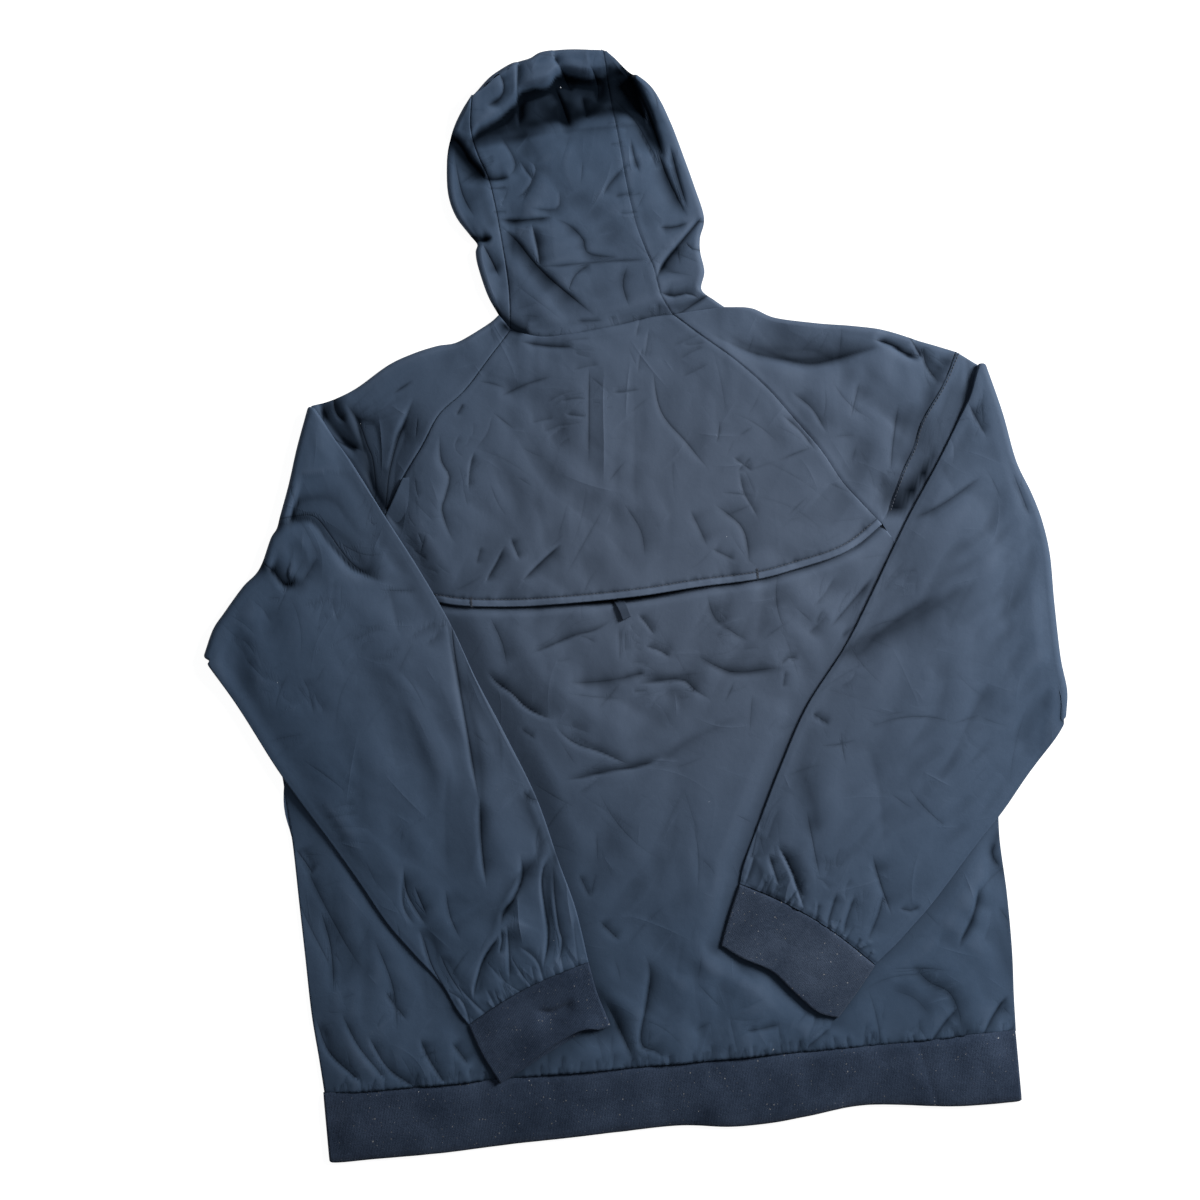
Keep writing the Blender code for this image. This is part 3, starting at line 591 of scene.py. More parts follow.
CUFF_MOUTH_LEFT = marked("-49,-372 -58,-374 -72,-373 -91,-380 -118,-394 -149,-414")
CUFF_MOUTH_RIGHT = marked("53,-312 70,-324 95,-338 113,-358 132,-377 149,-384")
print("back from hem to neck:", NECK[3][1] - SIDE_LEFT[0][1], "mm, sleeve span:",
      FOLD_RIGHT[8][0] - FOLD_LEFT[-1][0], "mm")

# %% [markdown]
# ## The creases of the body
# The lists run panel by panel. Each row is the x,y of the marks, a bar, then width, depth and
# lean in millimetres, and a 1 for a first or last end that stays at its full depth. A negative
# depth is a ridge. The deepest ones are where the shoulders bunch beside the folded sleeves,
# and the long bent ones across the lower back come from the way the sleeves pull it.

# %% Creases of the flap
YOKE_CREASES = creases_from("""
-2,200 -6,172 -9,130 -13,90 | 6 -1.1 0
-15,205 -19,165 -24,112 | 11 1.5 0
22,205 20,150 12,60 | 22 1.4 0
-150,159 -151,131 -145,115 -151,96 -154,87 -149,65 -142,54 | 7 1.9 -0.5
-121,137 -127,119 -130,98 | 3 1.3 0.5
-48,194 -73,189 -98,180 | 7 1.4 0.3
-46,172 -30,173 -17,171 | 5 0.9 0
-52,49 -71,35 -94,16 | 3.5 1.6 0.7
-102,52 -111,37 -124,18 | 3.5 1.4 0.6
-123,53 -129,36 | 4 0.8 0
39,199 43,156 63,126 83,96 | 10 1.6 0.5
101,111 119,95 | 5 1 0
104,96 118,109 | 4 0.8 0
146,144 162,128 175,107 | 5 1.3 0.4
156,163 174,146 186,121 | 5 1.2 -0.4
81,72 105,47 108,12 | 8 1.5 0.5
75,33 97,20 | 5 1 0
-75,227 -50,221 -25,217 | 6 2 0.4
-127,178 -135,167 | 5 1.6 0
-175,118 -175,107 -173,97 | 3 1.1 0.3
-191,105 -184,92 | 3 0.9 0
-185,57 -170,44 | 5 1 0.3
0,175 14,175 29,176 | 3 1 0.3
-42,161 -30,158 -19,156 | 3 1 0.3
106,100 109,78 115,65 121,50 | 3.5 0.9 0.4
-97,59 -94,48 -90,36 | 3.5 1.2 0.4
60,69 68,49 73,33 | 6 1 0
2,81 16,54 18,28 | 8 0.9 0
-177,70 -173,56 | 6 1.2 0
""")

# %% Creases of the shoulders
SHOULDER_CREASES = creases_from("""
-233,192 -221,173 -215,150 -211,135 -212,100 -224,62 | 11 8.5 -0.6 0 0
-240,192 -239,180 -230,169 | 5 3.5 0.4 1 0
-250,184 -250,169 -241,156 -226,148 | 6.5 4 0.4 1 1
-168,190 -180,166 -188,151 -198,123 -204,94 -216,58 | 8.5 6.5 0.6 0 0
-219,168 -206,167 | 3 0.9 0
-215,138 -204,136 | 3 0.9 0
-168,171 -172,150 | 5 1.6 0
-202,178 -202,147 -205,115 | 7 -1.6 0
88,222 107,210 138,196 182,187 217,191 250,196 | 13 6.5 -0.5
228,202 246,196 262,184 276,178 | 6 4 -0.5
262,204 268,192 274,178 | 4 3 0.5 1 0
250,145 242,112 237,82 | 12 1.8 0
275,194 276,175 287,156 | 5 1.8 0.3
218,167 206,133 | 10 1.2 0
276,90 258,72 242,58 230,44 | 8 1.8 0 1 0
""")

# %% Creases of the lower back
LOWER_CREASES = creases_from("""
-130,-53 -120,-67 -108,-77 -98,-89 -87,-97 -72,-104 | 4.5 2.4 -0.8
-75,-104 -67,-117 -54,-127 -35,-135 -16,-146 -2,-151 | 4.5 1.5 -0.6
-73,-157 -53,-155 -30,-152 -3,-150 24,-143 | 4.2 1.6 -0.6
-14,-21 -32,-29 -50,-32 -78,-41 -94,-46 | 5 1.4 -0.5
-50,-32 -39,-35 -31,-41 | 3 0.6 0
6,-17 13,-26 21,-40 | 3 1.2 0.6
9,-46 22,-51 34,-60 | 3.4 1.2 0.5
-10,-26 -11,-44 -13,-61 | 2.4 0.6 0
-5,-29 -7,-53 | 4 0.6 0
-63,-72 -36,-74 -12,-73 11,-70 | 8 1.3 0
-14,-73 0,-71 11,-70 | 3 1.2 0.3
-2,-79 19,-78 41,-79 51,-89 66,-100 | 4.6 1.7 0.5
-5,-85 11,-86 | 3 0.6 0
52,-57 73,-71 90,-77 127,-76 | 7 1.7 0.4
126,-75 134,-68 144,-71 | 4.5 1 0
131,-78 127,-95 | 3 0.8 0
68,-4 73,-27 87,-41 103,-52 | 7 1.2 0.4
-122,-7 -113,-32 -110,-55 | 8 1.3 0
-104,-108 -91,-119 | 4 1 0
0,-162 34,-137 80,-117 92,-106 | 13 1 0
100,-96 94,-131 | 10 0.7 0
169,-49 192,-27 217,-3 | 6 1.5 0.4
179,-57 207,-37 | 5 1 0
-51,-281 -34,-301 | 5 1.4 0.3
-65,-238 -56,-262 | 3 0.9 0
21,-297 11,-344 | 14 1.2 0
61,-322 95,-368 | 16 1.1 0
-310,-194 -302,-207 -294,-222 | 5 2 0.4
-293,-245 -286,-285 -287,-329 | 11 1.8 0
-248,-276 -235,-321 -234,-364 | 9 1.6 0.3
-189,-373 -174,-397 | 5 1.5 0
-317,-261 -316,-326 | 8 1.3 0
213,-337 229,-359 247,-371 254,-390 255,-409 | 9 1.3 0.3
282,-280 279,-293 272,-311 262,-326 259,-336 | 4 1.8 0.5
301,-243 296,-254 298,-261 303,-269 | 6 1.6 0.3
231,-409 243,-395 257,-383 | 5 1.6 0.5 1 0
273,-413 284,-396 300,-378 | 5 1.8 0.5 1 0
296,-415 305,-400 309,-385 | 5 1.4 0.4 1 0
196,-364 216,-373 230,-391 | 9 0.5 0
248,-306 241,-332 223,-351 | 13 0.7 0
296,-300 305,-316 309,-338 | 10 1.2 0
-307,-195 -293,-234 -274,-279 -257,-311 | 7 1.1 -0.4
-317,-219 -305,-258 -289,-298 -277,-335 | 9 1 0
-243,-323 -234,-339 -223,-355 | 5 1.6 -0.4
-305,-342 -296,-374 -275,-397 | 5 2 -0.5 0 1
-282,-339 -270,-369 -252,-396 | 5 1.6 -0.4 0 1
-261,-359 -246,-391 -227,-408 | 5 2 -0.5 0 1
-216,-366 -209,-387 -199,-406 | 4.5 1.8 -0.5 0 1
-16,-309 -10,-328 -15,-354 -24,-390 -11,-399 3,-411 | 6 2 0.5
-54,-346 -41,-378 -30,-408 | 5 1.8 -0.4
64,-388 82,-387 101,-385 | 5 1.2 0.3
122,-406 132,-399 142,-392 | 5 1.5 0.4 1 0
""")

# %% Gathers above the hem band, and crumples
HEM_SEAM = marked("-303,-411 303,-411")
LOWER_CREASES += gathers(HEM_SEAM, (0, 0), 11, 150, 15, 1.9, 0.8)
LOWER_CREASES += gathers(HEM_SEAM, (0, 0), 12, 50, 44, 2.4, 0.5)
LOWER_CREASES += gathers(HEM_SEAM, (0, 0), 13, 40, 11, 1.4, 0.5, (0.44, 0.66))
TOP_CRUMPLES = [
    (-45, 150, 20), (-4, 178, 5), (-32, 171, 2), (-184, 91, -50), (-171, 35, -40), (-18, 214, -20),
    (-180, 54, -45), (277, 188, 0), (293, 173, -80), (300, 155, 20), (73, 206, 15), (30, 214, 70),
    (-116, 145, 70), (-141, 112, 80)]
LOWER_CRUMPLES = [
    (11, -71, 0), (25, -80, 10), (-42, -152, 12), (7, -40, -50), (76, -37, -35), (87, -73, 5),
    (-52, -124, -35), (-62, -35, 20), (174, -30, 45), (193, -14, 50), (277, -306, 75),
    (-25, -396, -40), (-73, -348, 75), (81, -380, 15), (123, -397, 40)]
LOWER_CREASES = smoothed_by_hand(LOWER_CREASES + crumples(LOWER_CRUMPLES, 200))
TOP_CREASES = smoothed_by_hand(YOKE_CREASES + SHOULDER_CREASES + crumples(TOP_CRUMPLES, 300))
print("creases on the body:", len(LOWER_CREASES) + len(TOP_CREASES))

# %% [markdown]
# ## The height of the body
# The back lies on the fronts and stands a few millimetres off the floor. It comes down to the
# side seams, and it is pressed flat wherever a sleeve lies on it, so loft and creases fade to
# nothing under the two sleeves. That also leaves a natural hollow along each sleeve's edge.

# %% Height of the back, flap and shoulders
BACK = 5.8
SIDE_TOP = 2.4
LOFT = 2.6
ZIP_AT = np.array([-5.0, 188.0])


def sleeve_outline(fold, table, cuff, mouth):
    inner = curve([a for a, b in table] + [a for a, b in cuff[1:]], step=6)
    outer = curve([b for a, b in table] + [b for a, b in cuff[1:]], step=6)
    return np.vstack([inner, curve(mouth, step=6), outer[::-1], curve(fold, step=6)[::-1]])


OUTLINES = [sleeve_outline(FOLD_LEFT, SLEEVE_LEFT, CUFF_LEFT, CUFF_MOUTH_LEFT),
            sleeve_outline(FOLD_RIGHT, SLEEVE_RIGHT, CUFF_RIGHT, CUFF_MOUTH_RIGHT)]


def over_zip(xy, height):
    """The low dome that all layers make over the zip slider."""
    away = np.linalg.norm(xy - ZIP_AT, axis=1)
    return height * (1 - smooth((away - 13) / 60))


def from_side(xy):
    heights = [p[1] for p in SIDE_LEFT]
    x, y = xy.T
    left = np.interp(y, heights, [p[0] for p in SIDE_LEFT])
    right = np.interp(y, heights, [p[0] for p in SIDE_RIGHT])
    return np.minimum(x - left, right - x) + 60 * smooth((y + 140) / 60)


def uncovered(xy, width=15):
    """Zero under a sleeve, one well clear of both."""
    return smooth(np.minimum(*[clear_of(xy, outline) for outline in OUTLINES]) / width)


def body_height(xy, creases):
    side = np.maximum(from_side(xy), 0)
    roll = np.sin(math.pi / 2 * np.minimum(side / 40, 1))
    flat = mix(SIDE_TOP, BACK, roll) + over_zip(xy, 1.8)
    soft = LOFT * smooth(side / 70) + unevenness(xy) * np.minimum(side / 30, 1)
    folds = creased(xy, creases) * np.minimum(side / 8, 1)
    return np.maximum(flat + uncovered(xy, 24) * soft + uncovered(xy, 7) * folds, 2.2)

# %% Seams and edges that the height dips at
def seam_dip(xy, line, depth=0.35, width=1.0, seed=5):
    """The groove at a seam, with the slight pucker that the thread pulls into the cloth."""
    along, off = nearest(xy, line)
    pucker = 1 + 0.6 * ripple(np.column_stack([along * length_of(line)[-1], off * 0.4]), 5.5, seed)
    allowance = 0.15 * np.exp(-((np.abs(off) - 4) / 2.6) ** 2)
    return allowance - depth * np.exp(-(off / width) ** 2) * pucker


EDGE_LINE = curve(FLAP_EDGE)
RAGLAN_L = curve(RAGLAN_LEFT[:8])
RAGLAN_R = curve(RAGLAN_RIGHT[:8])
NECK_LINE = curve(NECK)


def flap_edge_at(x):
    return np.interp(x, EDGE_LINE[:, 0], EDGE_LINE[:, 1])


def gape(x):
    """How far the vent stands open along the flap's edge."""
    return np.exp(-((x - 3) / 55) ** 2)


def yoke_height(xy):
    z = body_height(xy, TOP_CREASES)
    for line in (RAGLAN_L, RAGLAN_R, NECK_LINE):
        z = z + seam_dip(xy, line)
    return z


# %% [markdown]
# ## The lower back
# One wide panel from the hem seam up to a tuck that the flap hides. At the hem the nylon is
# gathered into the shorter knitted band, so short pleats of every length stand along the
# seam. Just before the flap's edge the panel dives under it.

# %% Lower back
def lower_height(xy):
    x, y = xy.T
    z = body_height(xy, LOWER_CREASES)
    under = smooth((y - flap_edge_at(x) + 8) / 8)
    z = z - (2.3 + 1.8 * gape(x)) * under
    return np.maximum(z - 0.5 * np.exp(-((y + 411) / 2.0) ** 2), 2.0)


def beside_sleeves(xy):
    """Painted shade along the folded sleeves' edges, widest beside the left sleeve's inner edge."""
    left, right = (clear_of(xy, outline) for outline in OUTLINES)
    wide = 0.42 * np.exp(-left / 15) * smooth((xy[:, 0] + 215) / 30) * smooth((70 - xy[:, 1]) / 60)
    return np.maximum(wide, 0.28 * np.exp(-(np.minimum(left, right) / 2.4) ** 1.2))


def under_vent(xy):
    """Painted shade: the flap's shadow just below its open edge, a band along the hem seam, the
    sleeves' edges and the lines of LOWER_SHADE.
    """
    x, y = xy.T
    vent = 0.85 * gape(x) * np.exp(-((y - flap_edge_at(x) + 0.5) / 4.0) ** 2)
    seam = 0.22 * (1 + ripple(xy * [1, 0.25], 9, 14)) * np.exp(-((y + 411) / 11) ** 2)
    return np.clip(np.maximum(vent, beside_sleeves(xy)) + seam - creased(xy, LOWER_SHADE), 0, 0.95)

# %% [markdown]
# ## Painted shade
# Light that falls between two close layers doesn't come back, so the cloth beside the sleeves,
# under the flap's edge and along the seams looks darker than its dye. The jacket is laid very
# flat here, so a soft shade is painted into the colour to stand in for that depth. The rows are
# written as creases are, and their depth is the share of the light that the painted shade takes.

# %% Painted shade of the lower back
HEM_TURN = 6.6
LOWER_SHADE = creases_from("""
-128,-50 -115,-70 -97,-88 -72,-104 | 7 0.3 0
-100,-42 -112,-62 -104,-84 | 14 0.16 0
-62,-112 -35,-134 -2,-150 | 4 0.3 0
-70,-157 -30,-152 10,-146 60,-122 | 6 0.25 0
-63,-72 -30,-76 8,-72 40,-80 64,-100 | 7 0.25 0
48,-56 73,-71 100,-77 150,-76 | 5 0.35 0
68,-6 80,-34 104,-52 | 8 0.2 0
212,-336 228,-358 246,-370 254,-390 256,-411 | 8 0.45 0 0 1
190,-352 214,-370 232,-396 | 8 0.25 0
285,-272 279,-293 270,-313 259,-336 | 4.5 0.4 0
302,-240 295,-254 304,-270 | 6 0.5 0 1 1
290,-300 297,-330 303,-372 | 7 0.25 0
-306,-200 -292,-236 -272,-282 -250,-322 | 6 0.3 0
-64,-330 -46,-362 -30,-400 | 6 0.35 0 0 1
-20,-312 -9,-334 -20,-370 | 5 0.3 0
""")

# %% Painted shade of the flap and shoulders
SHADY = creases_from("""
-238,186 -228,165 -218,140 -211,112 -206,92 -212,60 | 13 0.8 0 1 0
-262,186 -245,170 -228,150 | 9 0.5 0 1 0
-176,186 -188,160 -200,125 -206,95 -214,60 | 10 0.45 0 0 0
110,212 150,200 200,192 248,196 | 11 0.42 0
300,180 285,160 272,130 258,95 242,62 | 9 0.5 0 1 1
272,190 284,176 296,162 | 11 0.45 0 1 1
122,208 141,199 164,190 196,190 216,198 | 6 0.7 0
99,224 126,205 153,201 181,200 | 4 0.35 0
275,194 278,180 295,164 | 5 0.6 0
282,180 301,173 323,168 | 4 0.7 0 0 1
277,166 298,154 315,146 | 4 0.5 0 0 1
270,88 256,70 243,56 234,44 | 7 0.5 0 1 0
228,93 232,69 228,49 | 8 0.45 0
267,149 253,122 243,95 | 9 0.3 0
222,2 209,-17 187,-31 | 7 0.5 0 1 0
-91,247 -81,238 -66,232 | 3.5 1 0
""")

# %% Painted shade of the sleeves
SLEEVE_SHADE = creases_from("""
314,176 296,150 280,118 262,88 246,62 | 8 0.4 0 1 1
270,88 256,70 243,56 234,44 | 7 0.5 0 1 0
165,-76 180,-68 233,-50 284,-24 317,-6 | 10 0.42 0 1 0
-299,87 -266,87 -238,67 -218,35 -187,20 | 6 0.45 0 1 0
-314,53 -291,33 -268,42 | 6 0.6 0 1 0
-270,76 -261,46 -257,16 | 12 0.25 0
-158,-22 -151,-58 -142,-106 -141,-153 -148,-200 -169,-245 | 6 0.42 0
-104,-171 -95,-216 -121,-240 -140,-271 -151,-305 | 5 0.5 0 1 0
-82,-218 -92,-264 -98,-304 | 5 0.5 0 1 0
-191,-31 -211,-53 -233,-39 | 14 0.22 0
-203,-254 -192,-296 -178,-338 | 7 0.35 0
136,-158 143,-193 147,-229 | 7 0.35 0
87,-232 98,-268 99,-303 | 4 0.5 0
238,-45 249,-72 280,-110 | 16 0.12 0
""")

# %% Painted shade put together for each panel
def yoke_shade(xy):
    """Painted shade at the bottom of the shoulder folds and along the sleeves' edges, and a painted
    highlight on the flap's hem band.
    """
    on_hem = gap_to(xy, EDGE_LINE) < HEM_TURN
    dark = np.clip(beside_sleeves(xy) - creased(xy, SHADY), 0, 0.95)
    return dark - 0.5 * on_hem * uncovered(xy, 6)


def sleeve_shade(xy):
    """Painted shade at the bottom of the sleeves' folds, and a little along their folded outlines.
    """
    fold = np.minimum(gap_to(xy, curve(FOLD_LEFT)), gap_to(xy, curve(FOLD_RIGHT)))
    return np.clip(0.26 * (1 - smooth((fold - 5) / 5)) - creased(xy, SLEEVE_SHADE), 0, 0.9)


def tucked(height, line, side):
    """The same height, but going just under its neighbour beyond a seam line."""
    def lowered(xy):
        off = nearest(xy, line)[1] * side
        return height(xy) - 0.65 * (1 - smooth((off + 0.4) / 1.8))
    return lowered

# %% The cloth of the lower back
rows, across = 241, 325
left = curve(SIDE_LEFT + RAGLAN_LEFT[:4:-1], rows)
right = curve(SIDE_RIGHT + RAGLAN_RIGHT[:4:-1], rows)
plan = between(left, right, across)
back_lower = height_shell("lower_back_cloth", with_height(plan, lower_height),
                          folds=Folds(LOWER_CREASES, 3), shade=under_vent)

# %% [markdown]
# ## The vent flap
# The flap hangs from the neck and the two raglan seams and is loose along its lower edge.
# Its hem is turned under once and topstitched, so the edge is a double thickness with small
# uneven puckers, and it stands open at the middle over the hanging loop. Over the turned part
# the shell is about three times as thick as elsewhere, so the edge shows the hem's thickness.

# %% Flap with its turned hem
def beside(line, size):
    """A line that runs beside another, to its left."""
    ahead = np.gradient(line, axis=0)
    aside = np.column_stack([-ahead[:, 1], ahead[:, 0]])
    return line + size * aside / np.linalg.norm(ahead, axis=1)[:, None]


HEM_LINE = beside(EDGE_LINE, HEM_TURN)
DROP_SEAM = curve([*DROP_RIGHT, (303, 182)])


def flap_height(xy):
    x, y = xy.T
    along, off = nearest(xy, EDGE_LINE)
    off = np.abs(off)
    run = along * length_of(EDGE_LINE)[-1]
    near_hem = 1 - smooth((off - HEM_TURN) / 2.0)
    slow, quick = (ripple(np.column_stack([run / size, 0 * run + 3]), 1.0, 8) for size in (7, 3.2))
    pucker = (0.3 * slow + 0.2 * quick) * np.exp(-((off - HEM_TURN) / 3.2) ** 2)
    groove = -0.8 * np.exp(-((off - HEM_TURN) / 1.1) ** 2)
    stand = 3.4 * gape(x) * (1 - smooth(off / 40)) + 0.7 * near_hem
    return yoke_height(xy) + (stand + pucker + groove) * uncovered(xy, 6)


rows, across = 199, 331
left, right = curve(RAGLAN_LEFT[7::-1], rows), curve(RAGLAN_RIGHT[7::-1], rows)
plan = patch(left, right, curve(FLAP_EDGE, across), curve(NECK, across))
hem_part = 1 - smooth((gap_to(plan, EDGE_LINE) - HEM_TURN) / 2)
back_flap = height_shell("vent_flap_cloth", with_height(plan, flap_height),
                         wall=NYLON_WALL + 1.1 * hem_part,
                         folds=Folds(TOP_CREASES, 3, (HEM_LINE,)), shade=yoke_shade)

# %% [markdown]
# ## Panels that turn round an outline
# Shoulders and hood are double where they end: the cloth runs to the outline, rolls round it
# and goes back underneath. One helper makes such rows: across the top, round a half ellipse
# as high as the cloth stands there, and a little way under.

# %% Rows that roll round an outline
def rolled(top, edge, away, size, height, tuck, floor=0.25):
    """Top is a plan grid that ends short of the outline by size, in each row."""
    rows = with_height(top, height)
    turn_height = rows[:, -1, 2]
    angles = np.linspace(math.pi / 2, -math.pi / 2, 11)[1:]
    parts = [rows]
    for angle in angles:
        plan = edge + away * (size * (math.cos(angle) - 1))[:, None]
        z = floor + (turn_height - floor) * (1 + math.sin(angle)) / 2
        parts.append(np.concatenate([plan, z[:, None]], axis=1)[:, None])
    for share in (0.5, 1.0):
        plan = edge - away * mix(size, np.maximum(tuck, size + 0.5), share)[:, None]
        parts.append(np.concatenate([plan, np.full((len(plan), 1), floor)], axis=1)[:, None])
    return np.concatenate(parts, axis=1)


def unit(vectors):
    return vectors / np.linalg.norm(vectors, axis=1)[:, None]

# %% A shoulder panel
def shoulder(name, raglan, outline, end, size, flip, sign):
    rows, across = 120, 60
    seam, edge = curve(raglan, rows), curve(outline, rows)
    seam[:, 0] -= sign * 1.2
    away = unit(edge - seam)
    reach = np.linalg.norm(edge - seam, axis=1)
    size = np.minimum(size, 0.45 * reach)
    turn = edge - away * size[:, None]
    low = between(seam[:1], turn[:1], across)[0]
    high = curve([seam[-1]] + end + [turn[-1]], across)
    top = patch(seam, turn, low, high)
    tuck = np.minimum(reach * 0.9, 24)
    height = tucked(yoke_height, RAGLAN_L if sign < 0 else RAGLAN_R, sign)
    return shell(name, rolled(top, edge, away, size, height, tuck), flip=flip,
                 folds=Folds(TOP_CREASES, 3, (DROP_SEAM,)), shade=yoke_shade)


# %% [markdown]
# ## The shoulders
# Each raglan shoulder panel runs from the neck to the armhole, beside the flap. The right
# one ends at a dropped armhole seam that shows. The left one bunches into deep folds, and
# its end is hidden by the sleeve that is folded over it.

# %% Shoulder panels
shoulder_left = shoulder("shoulder_cloth_left", RAGLAN_LEFT[:8], SHOULDER_LEFT, [(-246, 110)], 5.0,
                         flip=False, sign=-1)
shoulder_right = shoulder("shoulder_cloth_right", RAGLAN_RIGHT[:8], SHOULDER_RIGHT, DROP_RIGHT, 5.0,
                          flip=True, sign=1)

# %% [markdown]
# ## The sleeves
# A sleeve is a tube. Here each tube leaves the armhole, lies flat to the fold, turns over the
# fold and comes back across the back panel to its cuff. It is made of rings, each ring going
# over the face, round one edge, along the underside and round the other edge. The rings on
# the fold turn about the fold's own axis, so the outline is a true rounded fold and not a cut.

# %% Creases of the left sleeve
LEFT_SLEEVE_CREASES = creases_from("""
-297,91 -283,93 -269,93 -261,87 -253,74 -245,60 -235,46 -220,35 -207,30 | 11 7 -0.6 1 0
-261,87 -253,74 -241,63 -224,54 -205,53 | 12 1.6 0
-322,56 -312,54 -303,45 -295,34 -281,38 | 5.5 4.2 -0.6 1 0
-280,35 -273,45 -264,57 | 8 1.1 -0.3
-288,84 -274,64 -273,47 | 17 -2.6 0
-219,86 -214,78 -210,81 | 3 1 0
-217,72 -215,68 | 3 0.8 0
-283,120 -282,109 | 4 1.4 0
-249,173 -223,120 -196,72 -170,25 -158,-2 | 3.5 -1 0
-155,-12 -155,-33 -153,-64 -150,-100 -147,-140 -144,-176 | 7 3 -0.7 1 0
-154,-11 -145,-45 -131,-84 -116,-121 -102,-156 | 8 -1.4 0
-167,-15 -158,-12 | 3 1.2 0
-164,-7 -156,-11 | 3 1 0
-143,-158 -145,-185 -146,-211 -145,-246 | 5 2.6 -0.4
-207,30 -202,0 -200,-22 | 13 1.8 0
-251,41 -255,18 -263,3 | 14 1.3 0
-81,-218 -93,-228 -97,-245 -96,-269 -95,-285 -98,-303 -106,-326 | 4.2 3.8 0.6
-86,-226 -87,-257 -86,-284 -84,-297 -91,-323 | 4.5 2.8 0.4
-113,-215 -113,-236 -123,-256 -132,-266 -137,-281 | 7.5 4.4 -0.6
-136,-279 -140,-288 -152,-303 -160,-321 -168,-346 | 3.6 3.2 -0.6
-136,-279 -136,-290 -140,-304 | 4 2.2 0.3
-130,-273 -131,-306 -133,-330 | 5 2.2 0.4
-215,-222 -218,-238 -218,-256 -209,-272 | 5 1.6 0.5
-208,-235 -204,-249 -199,-264 | 5 2 -0.4
-208,-271 -204,-284 -199,-307 -189,-330 -181,-349 | 4 2.6 0.6
-192,-294 -185,-315 -172,-340 | 4 2 0.5
-118,-236 -120,-270 -118,-300 | 7 -1.6 0
-76,-236 -76,-262 -74,-290 | 6 -1.2 0
-108,-162 -97,-172 -87,-164 | 4 1.6 0.3
-165,-120 -175,-180 -178,-240 | 16 1.5 0
-215,-216 -215,-241 -204,-265 -199,-273 | 6 2.4 -0.5
-181,-239 -179,-265 -171,-288 | 9 1.6 0
""")

# %% Creases of the right sleeve
RIGHT_SLEEVE_CREASES = creases_from("""
169,-74 206,-59 239,-40 273,-23 | 13 2.2 0.2
249,41 278,52 318,75 | 9 1.7 0.2
308,141 315,125 323,105 | 4 1.4 0.3
149,-117 165,-130 | 4 1.3 0
190,-242 196,-272 204,-302 | 8 2.2 0.3
94,-214 85,-243 | 4 2 0.4
108,-225 118,-247 124,-269 129,-292 | 3.8 3.2 0.6
119,-246 129,-282 | 3.6 2.4 0.4
101,-234 109,-269 | 4 2.2 0.4
158,-273 150,-293 145,-307 | 5 1.8 0.3
174,-276 164,-299 159,-316 | 5 1.6 0
200,-271 192,-297 179,-322 | 7 1.8 0.3
208,-293 221,-297 230,-292 | 5 1.2 0
137,-198 141,-238 144,-265 | 12 1.5 0
195,-141 203,-190 202,-242 | 16 1.4 0
317,-87 276,-153 246,-203 | 15 1.2 0
313,5 267,-65 | 17 1.2 0
278,100 298,37 | 14 1 0
341,77 354,32 | 8 1.2 0
""")

# %% Gathers at the cuffs, and crumples of the sleeves
LEFT_CUFF_SEAM = marked("-63,-316 -109,-329 -141,-343 -172,-361")
RIGHT_CUFF_SEAM = marked("74,-260 97,-271 126,-291 158,-315 185,-341")
LEFT_SLEEVE_CREASES += gathers(LEFT_CUFF_SEAM, (-100, -250), 21, 34, 22, 1.6, 0.9)
LEFT_SLEEVE_CREASES += gathers(LEFT_CUFF_SEAM, (-100, -250), 22, 11, 52, 2.8, 1.4)
RIGHT_SLEEVE_CREASES += gathers(RIGHT_CUFF_SEAM, (200, -200), 23, 38, 18, 1.6, 0.9)
RIGHT_SLEEVE_CREASES += gathers(RIGHT_CUFF_SEAM[:3], (130, -200), 24, 11, 36, 2.4, 1.6)
LEFT_CRUMPLES = [
    (-209, 86, 60), (-268, 10, 20), (-258, 18, 80), (-342, 6, -50), (-336, -19, -60),
    (-318, -55, -40), (-163, -15, 20), (-262, -170, 0), (-101, -224, 70), (-120, -283, 60),
    (-87, -304, 80),
    (-140, -307, 70), (-145, -80, 80), (-218, -21, 10), (-279, -68, -60), (-229, 50, 20)]
RIGHT_CRUMPLES = [
    (226, 9, 35), (180, -66, 40), (235, 60, 60), (201, -24, 50), (287, 108, 80), (242, -6, 25),
    (100, -216, 80), (106, -251, -70), (117, -270, -60), (168, -283, 80),
    (185, -293, 70), (323, 122, 60), (154, -247, 80)]
LEFT_SLEEVE_CREASES = smoothed_by_hand(LEFT_SLEEVE_CREASES + crumples(LEFT_CRUMPLES, 400))
RIGHT_SLEEVE_CREASES = smoothed_by_hand(RIGHT_SLEEVE_CREASES + crumples(RIGHT_CRUMPLES, 500))
print("creases on the sleeves:", len(LEFT_SLEEVE_CREASES) + len(RIGHT_SLEEVE_CREASES))

# %% Rings of a sleeve
HALF = 2.9
FOLD_AXIS = 6.2
SLEEVE_FLOOR = 6.1
SLEEVE_TOP = 12.4
SLEEVE_EDGE = 8.4
FACE = 104
UNDERSIDE = 22


